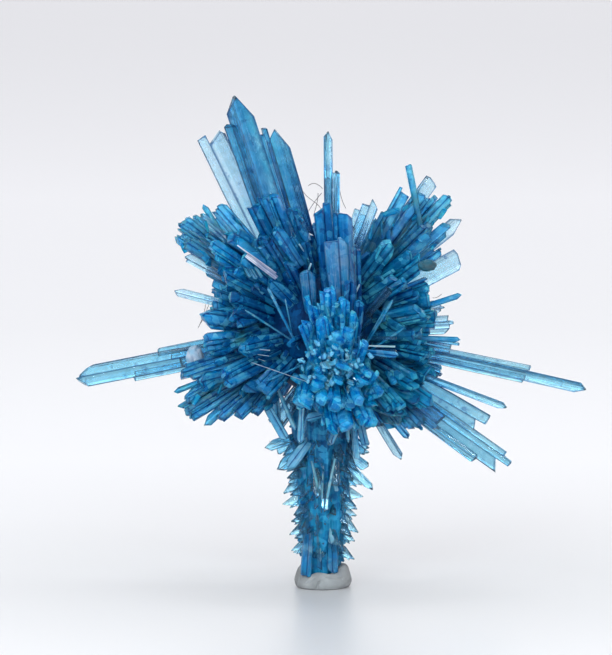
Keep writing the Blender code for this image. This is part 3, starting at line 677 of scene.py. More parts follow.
# The crystals that show one by one
# Each row: tip, width, thickness, turn of the broad face, end, root (None is the heart), laths. All in mm.
tallFan = {"finish": "fanBlade", "rows": (
    ((-7.1, -0.6, 39.5), 2.1, 1.1, 12, "spear", (-1.0, -0.5, 20.8), 1),
    ((-7.5, -1.0, 37.3), 1.1, 0.8, 30, "chisel", (-1.8, -1.0, 21.0), 1),
    ((-3.95, 0.8, 36.75), 1.8, 0.8, -14, "spear", (0.8, 0.4, 20.5), 1),
    ((-4.9, 0.4, 36.85), 0.9, 0.8, 20, "flat", (0.0, 0.2, 20.6), 2),
)}
fanFoot = {"finish": "footBlade", "rows": (
    ((-5.6, -1.8, 31.3), 1.6, 1.2, 24, "flat", (-1.0, -1.0, 22.0), 3),
    ((-4.2, -3.0, 31.8), 1.5, 1.1, -20, "chisel", (-0.2, -1.5, 21.5), 4),
    ((-2.6, -2.2, 31.0), 1.4, 1.0, 35, "spear", (0.2, -1.0, 21.5), 3),
    ((-4.7, -4.3, 28.3), 1.7, 1.1, 16, "chisel", (-0.6, -1.8, 21.5), 4),
    ((-3.1, -4.8, 26.6), 1.5, 1.0, -24, "slant", (-0.4, -2.0, 21.0), 3),
    ((-1.6, -3.4, 28.0), 1.1, 0.8, 20, "flat", (-0.2, -1.2, 21.4), 2),
)}
palePlates = {"finish": "paleBlade", "rows": (
    ((-9.1, 1.0, 36.45), 2.3, 0.7, 8, "flat", (-1.4, 0.5, 20.5), 2),
    ((-11.0, -0.6, 26.7), 0.85, 0.4, 10, "slant", None, 2),
    ((-11.9, -0.8, 23.9), 0.75, 0.35, 6, "spear", (-3.0, 0.0, 21.5), 2),
    ((11.0, 2.2, 26.3), 1.75, 0.45, 5, "flat", None, 1),
    ((11.1, 1.4, 29.5), 1.3, 0.45, 16, "spear", None, 1),
    ((8.8, 1.5, 32.7), 1.25, 0.4, 8, "flat", None, 1),
    ((4.0, 1.6, 31.1), 1.35, 0.5, 6, "slant", None, 2),
    ((3.1, 1.9, 30.2), 1.2, 0.5, -8, "flat", None, 2),
    ((2.3, 1.3, 29.1), 0.9, 0.5, 12, "slant", None, 2),
    ((10.5, 1.6, 21.0), 1.7, 0.5, 20, "slant", None, 4),
    ((9.8, 1.9, 22.4), 1.4, 0.5, -15, "spear", None, 3),
    ((-4.0, -1.4, 13.0), 1.5, 0.8, 20, "flat", (-0.8, -0.8, 17.4), 3),
    ((6.3, 0.4, 10.2), 0.75, 0.5, 10, "spear", (3.6, 0.0, 14.6), 1),
)}
leftBunch = {"finish": "bunchTip", "rows": (
    ((-11.9, -1.2, 28.8), 1.6, 1.1, 14, "spear", None, 5),
    ((-11.3, -0.7, 29.6), 1.2, 0.9, -18, "chisel", None, 4),
    ((-10.3, -0.3, 30.0), 1.3, 0.9, 28, "slant", None, 4),
    ((-9.6, 0.1, 30.8), 0.5, 0.35, 0, "spear", (-7.2, 0.0, 26.9), 1),
    ((-8.6, 0.6, 30.5), 1.7, 0.9, -8, "flat", None, 5),
    ((-11.0, -2.0, 28.0), 1.3, 1.1, 40, "chisel", None, 4),
    ((-9.6, 0.4, 25.7), 1.1, 0.7, -25, "spear", None, 4),
)}
leftFaces = {"finish": "bunchBlade", "rows": (
    ((-9.0, -4.2, 27.8), 1.6, 1.0, 20, "flat", (-1.5, -2.0, 22.5), 4),
    ((-8.0, -4.6, 25.9), 1.9, 1.2, -24, "spear", (-1.4, -1.4, 22.0), 4),
    ((-7.0, -5.1, 28.4), 0.9, 0.45, 25, "slant", (-1.2, -2.6, 23.6), 2),
    ((-8.0, -6.0, 17.2), 1.8, 1.3, 25, "chisel", None, 4),
    ((-6.6, -7.0, 19.8), 1.6, 1.2, -15, "spear", None, 4),
    ((-5.2, -7.4, 16.2), 1.9, 1.3, 24, "slant", None, 4),
    ((-2.7, -7.6, 20.3), 0.9, 0.6, -30, "spear", None, 2),
    ((-7.6, -2.6, 23.8), 1.9, 1.4, 18, "spear", None, 3),
    ((-8.9, -0.4, 24.0), 1.2, 0.9, 20, "chisel", None, 3),
    ((-9.9, -2.6, 22.1), 2.1, 1.3, -12, "spear", None, 4),
    ((-9.6, -3.6, 20.0), 1.6, 1.2, 22, "chisel", None, 3),
)}
leftLongBlade = {"finish": "clearBlade", "rows": (
    ((-19.9, 0.4, 16.75), 1.7, 0.8, 12, "spear", None, 2),
    ((-13.4, 0.6, 18.8), 0.7, 0.5, 10, "slant", (0.0, 0.3, 21.6), 1),
    ((-15.2, 0.5, 16.9), 0.8, 0.45, 8, "flat", (-0.4, 0.2, 19.9), 2),
    ((-12.2, 0.5, 18.2), 1.3, 0.8, 15, "flat", (0.0, 0.2, 20.5), 2),
)}
lowerLeftBunch = {"finish": "bunchTip", "rows": (
    ((-11.4, -3.0, 17.2), 1.8, 1.3, 16, "flat", None, 5),
    ((-11.9, -3.0, 16.0), 0.5, 0.4, 0, "spear", (-7.5, -2.0, 17.6), 1),
    ((-11.6, -3.2, 14.8), 1.7, 1.2, -22, "spear", None, 5),
    ((-10.9, -3.5, 14.2), 1.6, 1.2, 30, "chisel", None, 5),
    ((-9.5, -2.9, 13.3), 0.8, 0.5, 10, "spear", (-6.0, -2.0, 16.5), 1),
    ((-8.5, -3.3, 14.0), 1.4, 1.0, -15, "slant", None, 4),
    ((-7.0, -3.5, 14.1), 1.3, 1.1, 18, "chisel", None, 4),
    ((-5.7, -3.3, 14.3), 1.3, 1.0, -30, "slant", None, 4),
)}
rightLongBlades = {"finish": "clearBlade", "rows": (
    ((14.85, -0.5, 9.7), 2.0, 0.75, 14, "flat", (0.0, 0.0, 20.2), 3),
    ((13.1, 0.5, 13.0), 1.75, 0.5, 6, "flat", None, 2),
    ((12.3, -0.7, 10.3), 0.9, 0.6, 20, "slant", (-0.2, -0.3, 19.6), 1),
    ((9.6, -1.8, 13.2), 1.6, 1.0, -20, "chisel", None, 3),
    ((21.1, 0.2, 15.9), 0.95, 0.6, 14, "spear", None, 1),
    ((16.7, 0.1, 17.6), 0.5, 0.4, 10, "slant", (0.2, 0.0, 21.0), 1),
    ((16.2, 0.4, 16.7), 0.75, 0.45, 18, "flat", (0.1, 0.2, 20.2), 2),
    ((10.9, 0.3, 19.2), 1.0, 0.8, -10, "chisel", (0.4, 0.2, 20.9), 2),
    ((14.65, -2.5, 14.7), 0.72, 0.5, 24, "spear", (0.4, -1.4, 20.0), 1),
    ((9.5, -0.6, 17.1), 1.2, 1.0, 10, "slant", None, 3),
)}
sideSpears = {"finish": "needleBlade", "rows": (
    ((11.0, -1.0, 20.0), 0.5, 0.4, 10, "spear", (2.0, -0.5, 20.3), 1),
    ((11.1, -0.8, 23.6), 0.5, 0.4, 0, "spear", (3.0, 0.0, 20.9), 1),
)}
rightBunch = {"finish": "bunchTip", "rows": (
    ((8.6, 0.4, 24.2), 1.8, 1.2, 12, "chisel", None, 4),
    ((10.2, -0.3, 29.2), 1.2, 0.9, 20, "spear", None, 3),
    ((9.4, 0.6, 27.3), 1.3, 0.8, -20, "chisel", None, 3),
    ((8.1, 0.0, 31.8), 1.3, 0.9, 10, "slant", None, 3),
    ((9.1, 0.3, 31.4), 1.2, 0.9, -16, "flat", None, 3),
    ((10.2, 0.2, 31.4), 1.2, 0.8, 22, "slant", None, 3),
    ((8.7, -1.1, 29.3), 1.3, 1.0, 30, "spear", None, 3),
    ((6.8, -0.4, 34.0), 0.6, 0.5, 15, "flat", (8.1, -0.1, 27.5), 1),
    ((6.6, -1.3, 32.1), 1.1, 0.6, 10, "flat", (0.5, -0.7, 20.8), 2),
    ((5.0, -1.0, 30.2), 1.2, 0.9, -24, "slant", (0.4, -0.5, 20.8), 3),
    ((5.1, 0.8, 28.9), 1.4, 1.0, -20, "chisel", None, 3),
)}
rightFaces = {"finish": "tealBlade", "rows": (
    ((7.8, -2.8, 26.9), 2.3, 1.3, 12, "slant", None, 4),
    ((6.4, -4.2, 25.4), 2.0, 1.2, -22, "chisel", None, 4),
    ((5.6, -3.6, 28.2), 1.5, 1.0, 18, "spear", None, 3),
    ((8.2, -4.6, 22.6), 1.7, 1.2, 24, "chisel", None, 4),
    ((8.6, -4.2, 19.2), 1.8, 1.3, -14, "slant", None, 4),
    ((7.6, -5.4, 16.6), 1.9, 1.3, 30, "spear", None, 4),
    ((6.0, -6.4, 14.9), 1.7, 1.2, -24, "chisel", None, 4),
    ((8.7, -3.4, 14.9), 1.6, 1.1, 12, "slant", None, 4),
)}
uprightBlades = {"finish": "clearBlade", "rows": (
    ((0.4, 0.6, 36.6), 0.75, 0.6, 12, "spear", (0.5, 0.3, 21.0), 1),
    ((1.0, 0.7, 33.5), 0.75, 0.6, 30, "slant", (0.9, 0.3, 21.0), 2),
    ((0.55, 0.9, 33.0), 0.7, 0.6, -20, "chisel", (0.6, 0.5, 21.0), 1),
    ((5.3, -4.4, 24.4), 0.8, 0.6, 20, "flat", (1.2, -2.0, 19.4), 2),
    ((3.9, -6.1, 22.2), 0.45, 0.3, 10, "spear", (1.6, -3.5, 19.6), 1),
    ((5.8, -6.3, 20.6), 0.3, 0.25, 10, "flat", (1.5, -3.4, 20.4), 1),
    ((5.9, -6.6, 19.4), 0.85, 0.4, 12, "slant", (1.0, -3.0, 19.0), 2),
)}
middleBlade = {"finish": "footBlade", "rows": (
    ((-0.1, -3.0, 31.2), 1.5, 1.1, 10, "flat", (1.3, -5.6, 16.6), 2),
    ((1.5, -3.4, 30.6), 1.6, 1.2, -8, "slant", (2.2, -5.8, 16.6), 2),
    ((2.5, -3.6, 27.9), 1.0, 0.9, 14, "slant", (2.8, -4.3, 18.4), 2),
    ((2.2, -6.6, 25.4), 1.1, 0.9, 14, "spear", (1.7, -4.6, 17.4), 2),
    ((2.9, -6.6, 23.7), 0.9, 0.7, -16, "slant", (2.2, -4.8, 17.4), 2),
)}
paleFaces = {"finish": "lavenderBlade", "rows": (
    ((0.95, -5.3, 28.5), 1.9, 0.8, 6, "chisel", (1.3, -4.9, 23.6), 2),
    ((-1.3, -5.8, 26.0), 1.3, 0.9, 4, "slant", (-0.7, -3.0, 19.8), 2),
)}
lowerRightTips = {"finish": "bunchTip", "rows": (
    ((8.2, -1.8, 12.9), 1.3, 0.9, 18, "spear", None, 4),
    ((7.1, -1.3, 12.3), 1.3, 0.9, -22, "chisel", None, 4),
    ((6.2, -2.4, 13.1), 1.2, 0.9, 26, "spear", None, 4),
    ((5.3, -1.8, 13.3), 1.1, 0.9, -10, "slant", None, 3),
    ((4.2, 0.4, 11.7), 2.2, 1.2, 12, "flat", None, 3),
)}
tables = dict(
    tallFan=tallFan, fanFoot=fanFoot, palePlates=palePlates, leftBunch=leftBunch, leftFaces=leftFaces,
    leftLongBlade=leftLongBlade, lowerLeftBunch=lowerLeftBunch, rightLongBlades=rightLongBlades,
    sideSpears=sideSpears, rightBunch=rightBunch, rightFaces=rightFaces, uprightBlades=uprightBlades,
    middleBlade=middleBlade, paleFaces=paleFaces, lowerRightTips=lowerRightTips,
)
makeBlades(0.7, **tables)

# The rest of the ball
ballFill = {
    "seed": 12,
    "directions": 150,
    "leastAngle": 12.5,  # degrees from every crystal that shows
    "frontLimit": -0.35,  # they stay behind this Y of their direction
    "stalkAngle": 43.0,
    "backFrom": 0.25,
    "backLength": (8.0, 10.8),
    "frontLength": (7.6, 9.4),
    "longChance": 0.2,
    "longer": (1.5, 3.5),
    "width": (1.5, 2.6),
    "thickness": (0.5, 0.75),
    "lean": 0.7,
    "turn": 60,
    "finish": "bunchBlade",
}
frontBurst = {
    "tips": ((-0.4, -9.6, 17.2), (1.6, -10.2, 18.2), (3.4, -9.4, 17.4), (0.6, -9.8, 15.6), (2.6, -9.6, 15.4),
             (4.4, -8.2, 15.6), (-1.6, -8.4, 15.4), (1.4, -9.2, 20.8), (3.6, -8.2, 13.9), (1.4, -8.4, 13.4)),
    "width": (1.7, 2.4),
    "thickness": 0.72,
    "turn": 70,
    "finish": "hazyBlade",
}
chance = random.Random(ballFill["seed"])


def eitherWay(most):
    return chance.uniform(-most, most)


def evenDirections(count):
    number = np.arange(count)
    up = 1 - (2 * number + 1) / count
    level = np.sqrt(1 - up * up)
    return np.stack([level * np.cos(goldenAngle * number), level * np.sin(goldenAngle * number), up], 1)


def fillingRows(look):
    # The same even directions and the same chances as the solid's own filling crystals
    tips = [row[0] for table in tables.values() for row in table["rows"]] + list(frontBurst["tips"])
    taken = unit(np.array(tips) - heart)
    rows = []
    for direction in evenDirections(look["directions"]):
        near = (taken @ direction).max() > math.cos(math.radians(look["leastAngle"]))
        inStalk = direction[2] < -math.cos(math.radians(look["stalkAngle"]))
        if near or inStalk or direction[1] < look["frontLimit"]:
            continue
        behind = direction[1] > look["backFrom"]
        length = chance.uniform(*look["backLength" if behind else "frontLength"])
        if behind and chance.random() < look["longChance"]:
            length += chance.uniform(*look["longer"])
        width = chance.uniform(*look["width"])
        lean = np.array([eitherWay(1) for _ in range(3)]) * look["lean"]
        thick = width * chance.uniform(*look["thickness"])
        turn = eitherWay(look["turn"])
        end = chance.choice(("flat", "chisel", "spear", "slant"))
        rows.append((heart + direction * length, width, thick, turn, end, heart + lean, 3))
    return rows


def burstRows(look):
    rows = []
    for tip in look["tips"]:
        width = chance.uniform(*look["width"])
        end = chance.choice(("chisel", "spear", "slant"))
        rows.append((tip, width, width * look["thickness"], eitherWay(look["turn"]), end, None, 4))
    return rows


makePiece("ballFill", skinsOf(fillingRows(ballFill), 0.8), glass[ballFill["finish"]])
makePiece("frontBurst", skinsOf(burstRows(frontBurst), 0.8), glass[frontBurst["finish"]])


def lumpSkin(look):
    # A lump: the radii times one plus a random lobe's nearness, over angles round and down
    sides = 2 * look["steps"]
    about, down = np.meshgrid(np.linspace(0, 2 * np.pi, sides, endpoint=False),
                               np.linspace(0, np.pi, look["steps"] + 1)[1:-1])
    way = np.stack([np.cos(about) * np.sin(down), np.sin(about) * np.sin(down), np.cos(down)], -1)
    ways = np.concatenate([way.reshape(-1, 3), [[0, 0, 1], [0, 0, -1]]])
    lobes = unit(shape.normal(size=(60, 3)))
    swell = 1 + look["lumpiness"] * ((ways @ lobes.T).max(1) - 0.95) * 8
    points = np.array(look["centre"]) + ways * np.array(look["radii"]) * swell[:, None]
    _, tris, _, rim = ringSkin(points[:-2].reshape(-1, sides, 3), points[-2:], np.zeros(sides))
    uv = np.stack([np.arctan2(ways[:, 1], ways[:, 0]), ways[:, 2]], 1) * look["radii"][0]
    return points, tris, uv, rim


# Hollows beside the haze, dark where the core's painted shade shows: no small crystal has its tip this near
# to these directions
hollows = {
    "ways": ((-4.6, -6.4, 1.4), (4.4, -6.4, 2.6), (-2.6, -5.6, 3.4)),
    "degrees": (16.0, 13.0, 9.0),
}
hollowWays = unit(np.array(hollows["ways"]))


def inHollow(tip):
    return bool((hollowWays @ unit(tip - heart) > np.cos(np.radians(hollows["degrees"]))).any())


sharpEnds = ("point", "spear", "slant", "chisel")
bluntEnds = ("flat", "slant", "chisel", "spear")
# What a sheaf has where it says nothing else: spread and turn in degrees, the rest in mm or shares
plainSheaf = {"bias": 0.5, "roundness": 0.0, "turn": 60, "stray": 0.2, "thickness": (0.35, 0.8),
              "ends": sharpEnds, "finish": "bunchBlade"}


def sheaf(look):
    # Small crystals side by side: directions spread round the axis, each leaning towards the axis by the bias
    axis = unit(np.array(look["axis"], float))
    side = unit(np.cross(axis, (0.0, 1.0, 0.0)))
    rise = np.cross(side, axis)
    skins = []
    for _ in range(look["count"]):
        swing = np.radians(shape.normal(size=2) * look["spread"])
        way = unit(axis + side * swing[0] + rise * swing[1])
        reach = shape.uniform(*look["reach"]) - look["roundness"] * (abs(swing[0]) + abs(swing[1]))
        tip = heart + way * reach
        lean = way * (1 - look["bias"]) + axis * look["bias"] + shape.normal(size=3) * look["stray"]
        root = tip - unit(lean) * shape.uniform(*look["length"])
        width = shape.uniform(*look["width"])
        end = look["ends"][shape.integers(len(look["ends"]))]
        turn = shape.uniform(-look["turn"], look["turn"])
        if inHollow(tip):
            continue
        thick = width * shape.uniform(*look["thickness"])
        skins.append(bladeSkin(tip, width, thick, turn, end, root, int(shape.integers(1, 4)), 0.6, False))
    return skins


# The ball's solid middle, coloured near black as painted shade for the gaps and hollows that show it
core = {"centre": heart, "radii": (5.0, 5.0, 5.0), "lumpiness": 0.05, "steps": 28, "finish": "shadedDenseCore"}
sheaves = {
    "leftSheaf": {
        "axis": (-11.2, -1.9, 8.3), "count": 18, "spread": 7.0, "reach": (8.0, 12.8), "length": (3.5, 6.5),
        "width": (0.8, 1.9), "bias": 0.7, "roundness": 6.0, "turn": 50, "stray": 0.16},
    "leftMiddleSheaf": {
        "axis": (-9.4, -3.4, 1.6), "count": 14, "spread": 10.0, "reach": (6.8, 9.4), "length": (2.5, 4.5),
        "width": (0.8, 2.0), "turn": 50, "stray": 0.16, "ends": bluntEnds},
    "lowerLeftSheaf": {
        "axis": (-10.6, -3.6, -4.6), "count": 22, "spread": 9.0, "reach": (7.6, 12.4), "length": (2.5, 5.5),
        "width": (0.8, 1.8), "bias": 0.6, "roundness": 6.0, "turn": 50, "stray": 0.16},
    "fanSheaf": {
        "axis": (-4.6, -2.8, 9.4), "count": 18, "spread": 8.0, "reach": (6.6, 11.0), "length": (3.0, 6.5),
        "width": (0.7, 1.6), "bias": 0.8, "turn": 45, "stray": 0.14, "ends": bluntEnds},
    "upperRightSheaf": {
        "axis": (8.4, -0.8, 9.4), "count": 18, "spread": 7.5, "reach": (7.6, 12.4), "length": (3.5, 7.0),
        "width": (0.7, 1.7), "bias": 0.7, "roundness": 5.0, "turn": 45, "stray": 0.14},
    "rightSheaf": {
        "axis": (9.0, -2.6, -0.8), "count": 34, "spread": 12.0, "reach": (6.4, 9.4), "length": (2.5, 5.0),
        "width": (0.7, 1.8), "bias": 0.3, "ends": bluntEnds, "finish": "tealBlade"},
    "lowerRightSheaf": {
        "axis": (7.4, -2.6, -6.0), "count": 30, "spread": 10.0, "reach": (7.0, 10.2), "length": (2.5, 4.5),
        "width": (0.6, 1.6), "finish": "tealBlade"},
    "burstSheaf": {
        "axis": (1.4, -8.0, -5.2), "count": 34, "spread": 12.0, "reach": (8.2, 9.9), "length": (2.5, 4.5),
        "width": (0.4, 1.0), "finish": "hazyBlade"},
    "druse": {
        "axis": (0.0, 4.0, 0.4), "count": 170, "spread": 60.0, "reach": (6.4, 8.2), "length": (2.0, 3.0),
        "width": (0.35, 0.9), "bias": 0.0, "turn": 90, "stray": 0.1},
}
makePiece("shadedDenseCore", [lumpSkin(core)], glass[core["finish"]])
for name, changes in sheaves.items():
    look = {**plainSheaf, **changes}
    makePiece(name, sheaf(look), glass[look["finish"]])

# The dark blade over the left hollow, and crystals that close the ball's right side
darkBlades = {"finish": "darkBlade", "rows": (
    ((-7.3, -5.0, 23.7), 2.5, 1.4, 28, "chisel", (-1.8, -1.0, 21.2), 3),
    ((-5.6, -4.4, 24.6), 1.2, 0.8, -16, "slant", (-1.2, -1.6, 21.4), 2),
)}
rightEdge = {"finish": "tealBlade", "rows": (
    ((8.9, -0.9, 22.5), 1.4, 1.0, 12, "spear", None, 4),
    ((9.0, -0.7, 20.9), 1.4, 0.9, -14, "slant", None, 4),
    ((8.9, -1.0, 18.7), 1.5, 1.0, 20, "chisel", None, 4),
    ((8.6, -1.2, 24.2), 1.2, 0.9, -18, "slant", None, 3),
    ((9.1, -1.6, 17.0), 1.3, 0.9, 14, "spear", None, 3),
    ((8.8, -2.0, 21.8), 0.9, 0.6, 26, "point", None, 2),
    ((8.4, -2.6, 20.2), 1.0, 0.7, -24, "chisel", None, 3),
)}
makeBlades(0.8, darkBlades=darkBlades, rightEdge=rightEdge)
# Hazy blades that stand in front of the middle, side by side
frontUpright = {"finish": "hazyBlade", "rows": (
    ((-0.9, -7.6, 24.2), 1.3, 0.9, 10, "flat", (0.6, -4.5, 17.0), 3),
    ((0.3, -8.2, 24.9), 1.4, 1.0, -12, "flat", (1.0, -4.8, 16.6), 3),
    ((1.5, -8.3, 24.1), 1.3, 0.9, 14, "slant", (1.4, -4.8, 16.6), 3),
    ((2.4, -8.0, 23.0), 1.0, 0.8, -10, "spear", (1.8, -4.6, 16.8), 3),
    ((-1.6, -7.8, 22.2), 1.2, 0.8, -10, "slant", (0.4, -4.6, 16.6), 3),
    ((0.0, -8.7, 22.7), 1.5, 1.0, 8, "spear", (0.8, -5.0, 16.4), 3),
    ((1.7, -9.0, 22.0), 1.5, 1.0, -8, "chisel", (1.4, -5.0, 16.2), 3),
    ((3.0, -8.8, 20.6), 1.4, 1.0, 12, "flat", (1.8, -5.0, 16.4), 3),
    ((-1.0, -8.8, 20.2), 1.3, 0.9, 10, "flat", (0.6, -5.0, 16.0), 3),
    ((0.9, -9.4, 20.4), 1.5, 1.0, -12, "slant", (1.2, -5.4, 15.8), 3),
    ((2.5, -9.4, 19.6), 1.4, 0.9, 10, "spear", (1.6, -5.4, 15.8), 3),
    ((4.0, -8.7, 18.4), 1.3, 0.9, -10, "chisel", (2.2, -5.0, 15.6), 3),
    ((-0.4, -9.4, 18.6), 1.3, 0.9, 10, "flat", (0.8, -5.0, 15.6), 3),
    ((4.6, -8.2, 16.8), 1.2, 0.9, -20, "slant", (2.2, -5.0, 15.4), 3),
)}
makeBlades(1.0, frontUpright=frontUpright)

# Thin crystals that cross the dark gaps, thin pale laths whose whiteness paints glints, and pale spots low on
# the haze that paint its sparkle of highlights
needles = {"finish": "needleBlade", "rows": (
    ((5.5, -6.8, 23.7), 0.28, 0.25, 10, "spear", (3.2, -4.6, 19.6), 1),
    ((4.9, -6.5, 23.0), 0.2, 0.18, 20, "point", (3.2, -4.4, 19.8), 1),
    ((6.4, -6.0, 21.4), 0.24, 0.2, 0, "spear", (3.0, -4.6, 19.0), 1),
    ((-4.4, -6.8, 24.7), 0.28, 0.25, 10, "spear", (-1.9, -5.0, 19.6), 1),
    ((-3.0, -7.0, 23.8), 0.18, 0.16, 0, "spear", (-2.4, -4.6, 20.4), 1),
    ((-6.2, -6.6, 22.9), 0.22, 0.2, 15, "point", (-2.4, -4.4, 20.2), 1),
    ((-4.4, -7.0, 17.3), 0.24, 0.2, -10, "spear", (-1.2, -5.4, 18.6), 1),
    ((5.95, -7.0, 19.3), 0.6, 0.35, 12, "spear", (3.4, -6.0, 19.5), 2),
)}
brightLaths = {"finish": "brightLath", "rows": (
    ((5.7, -7.0, 20.0), 0.2, 0.16, 10, "flat", (3.4, -6.6, 20.02), 1),
    ((-5.7, -7.4, 18.8), 0.11, 0.1, 0, "spear", (-0.6, -7.2, 17.0), 1),
    ((-4.2, -7.5, 19.75), 0.12, 0.1, 0, "flat", (-5.0, -6.2, 19.7), 1),
    ((-4.3, -7.5, 19.3), 0.1, 0.1, 0, "flat", (-5.15, -6.2, 19.3), 1),
    ((-4.6, -7.5, 18.9), 0.1, 0.1, 0, "flat", (-5.1, -6.2, 18.95), 1),
    ((-0.95, -5.8, 26.5), 0.2, 0.2, 10, "slant", (-1.2, -5.0, 25.8), 1),
    ((-1.9, -4.2, 27.9), 0.16, 0.15, 10, "flat", (-1.5, -3.4, 27.2), 1),
    ((2.9, -6.2, 24.9), 0.2, 0.18, 10, "spear", (2.4, -5.6, 23.8), 1),
)}
makeBlades(0.2, needles=needles, brightLaths=brightLaths)
# Tiny pale crystals whose paleness paints the haze's sparkle of highlights
paintedSparkleSpots = {**plainSheaf, "axis": (0.8, -9.4, -2.6), "count": 80, "spread": 7.5, "reach": (9.3, 10.0),
             "length": (0.5, 0.8), "width": (0.28, 0.6), "bias": 0.2, "stray": 0.3, "ends": bluntEnds,
             "finish": "paleHazeAndPaintedSparkle"}
makePiece("paintedSparkleSpots", sheaf(paintedSparkleSpots), glass[paintedSparkleSpots["finish"]])
# Pale crystals in a slanting row under the haze, at its left
paleRidge = {"finish": "paleHazeAndPaintedSparkle", "rows": (
    ((-1.9, -8.0, 17.9), 0.4, 0.3, 20, "spear", (0.4, -6.4, 16.6), 1),
    ((-0.9, -8.3, 17.0), 0.5, 0.35, -20, "slant", (0.6, -6.4, 16.0), 2),
    ((0.1, -8.5, 16.1), 0.45, 0.4, 30, "point", (1.0, -6.4, 16.0), 1),
    ((0.9, -8.4, 15.1), 0.5, 0.4, -10, "slant", (1.2, -6.2, 15.8), 2),
    ((1.6, -8.0, 14.0), 0.55, 0.4, 20, "spear", (1.4, -5.8, 15.4), 2),
    ((2.5, -7.7, 13.5), 0.4, 0.3, -30, "point", (1.8, -5.8, 15.2), 1),
)}
makeBlades(0.3, paleRidge=paleRidge)

# Small plates that grow on the larger crystals
flakes = {
    "each": 4,
    "leastWidth": 1.0,
    "down": 4.6,  # mm back from the tip
    "lean": 0.4,
    "width": (0.35, 0.95),
    "length": (0.1, 0.7),
    "thickness": (0.3, 0.6),
    "turn": 60,
    "sunk": 0.8,  # mm that a plate's root lies in its crystal
    "tables": {"leftFlakes": (leftBunch, "bunchBlade"), "leftFaceFlakes": (leftFaces, "bunchBlade"),
               "lowerLeftFlakes": (lowerLeftBunch, "bunchBlade"), "fanFlakes": (fanFoot, "bunchBlade"),
               "upperRightFlakes": (rightBunch, "bunchBlade"), "rightFlakes": (rightFaces, "tealBlade"),
               "lowerRightFlakes": (lowerRightTips, "tealBlade"), "frontFlakes": (frontUpright, "hazyBlade")},
}


def flakesOn(rows, look):
    # On the outer half of each crystal: along it times a share, beside it by its width, leaning aside
    skins = []
    for tip, width, thick, turn, end, root, laths in rows:
        if width < look["leastWidth"]:
            continue
        tip = np.array(tip, float)
        along, across, through = axesOf(rootOf(root), tip, turn)
        for _ in range(look["each"]):
            place = tip - along * shape.uniform(0.2, 1) * look["down"]
            place = place + across * shape.uniform(-0.45, 0.45) * width
            place = place + through * shape.uniform(-0.5, 0.2) * thick
            way = along + across * shape.normal() * look["lean"]
            way = unit(way + through * shape.normal() * look["lean"])
            size = shape.uniform(*look["width"])
            if inHollow(place):
                continue
            far = place + way * shape.uniform(*look["length"])
            deep = size * shape.uniform(*look["thickness"])
            twist = shape.uniform(-look["turn"], look["turn"])
            sharp = sharpEnds[shape.integers(4)]
            skins.append(bladeSkin(far, size, deep, twist, sharp, place - way * look["sunk"], 1, 0.5, False))
    return skins


for name, (table, finish) in flakes["tables"].items():
    makePiece(name, flakesOn(table["rows"], flakes), glass[finish])

# The milky lath that lies over the left bunch, its pale colour partly a painted reflection of a light off its
# flat face, and the pale ends under it
milkyLath = {"finish": "milkyLath", "rows": (
    ((-3.65, -5.55, 25.3), 0.42, 0.3, 12, "flat", (-6.1, -5.45, 27.1), 3),
    ((-3.7, -5.4, 25.65), 0.18, 0.18, 12, "slant", (-6.8, -5.3, 27.9), 1),
)}
lathBed = {"finish": "bunchBlade", "rows": (
    ((-6.3, -5.0, 27.3), 1.7, 0.8, 10, "slant", (-0.8, -2.2, 22.0), 3),
    ((-4.3, -5.1, 25.2), 1.3, 0.8, -14, "spear", (-0.8, -2.4, 21.4), 2),
)}
paleEnds = {"finish": "lavenderBlade", "rows": (
    ((-5.75, -5.6, 25.4), 0.4, 0.3, 10, "chisel", (-6.4, -4.2, 26.4), 2),
    ((-5.3, -5.7, 25.25), 0.4, 0.3, -15, "slant", (-6.0, -4.2, 26.3), 2),
    ((-4.85, -5.7, 25.4), 0.35, 0.3, 20, "chisel", (-5.6, -4.2, 26.4), 1),
)}
makeBlades(0.2, milkyLath=milkyLath, lathBed=lathBed, paleEnds=paleEnds)

# Stalk
stalk = {
    "topZ": 15.0,
    "footZ": 0.85,
    "topRadius": 2.5,
    "footRadius": 1.3,
    "sides": 54,
    "heights": 40,
    # Angle, distance out at the top and at the foot, foot's height and width
    "prisms": ((250, 1.6, 0.8, 0.9, 1.3), (300, 1.5, 0.75, 1.3, 1.2), (350, 1.8, 0.85, 0.95, 1.2),
               (30, 1.5, 0.75, 1.9, 1.3), (80, 1.7, 0.8, 0.9, 1.2), (140, 1.6, 0.75, 1.6, 1.3),
               (200, 1.8, 0.85, 1.1, 1.2)),
    "grains": 150,
    "grainWidth": (0.18, 0.45),
    "grainLength": (0.25, 0.7),
    "spikes": 84,
    "spikeLow": 2.9,
    "spikeHigh": 12.0,
    "spikeLength": (0.85, 1.35),
    "spikeWidth": (1.0, 1.5),
    "droop": (12, 48),  # degrees under level
    "frontCut": 0.6,  # share that a thorn at the very front is shortened by
    "finish": "stalkBlade",
}
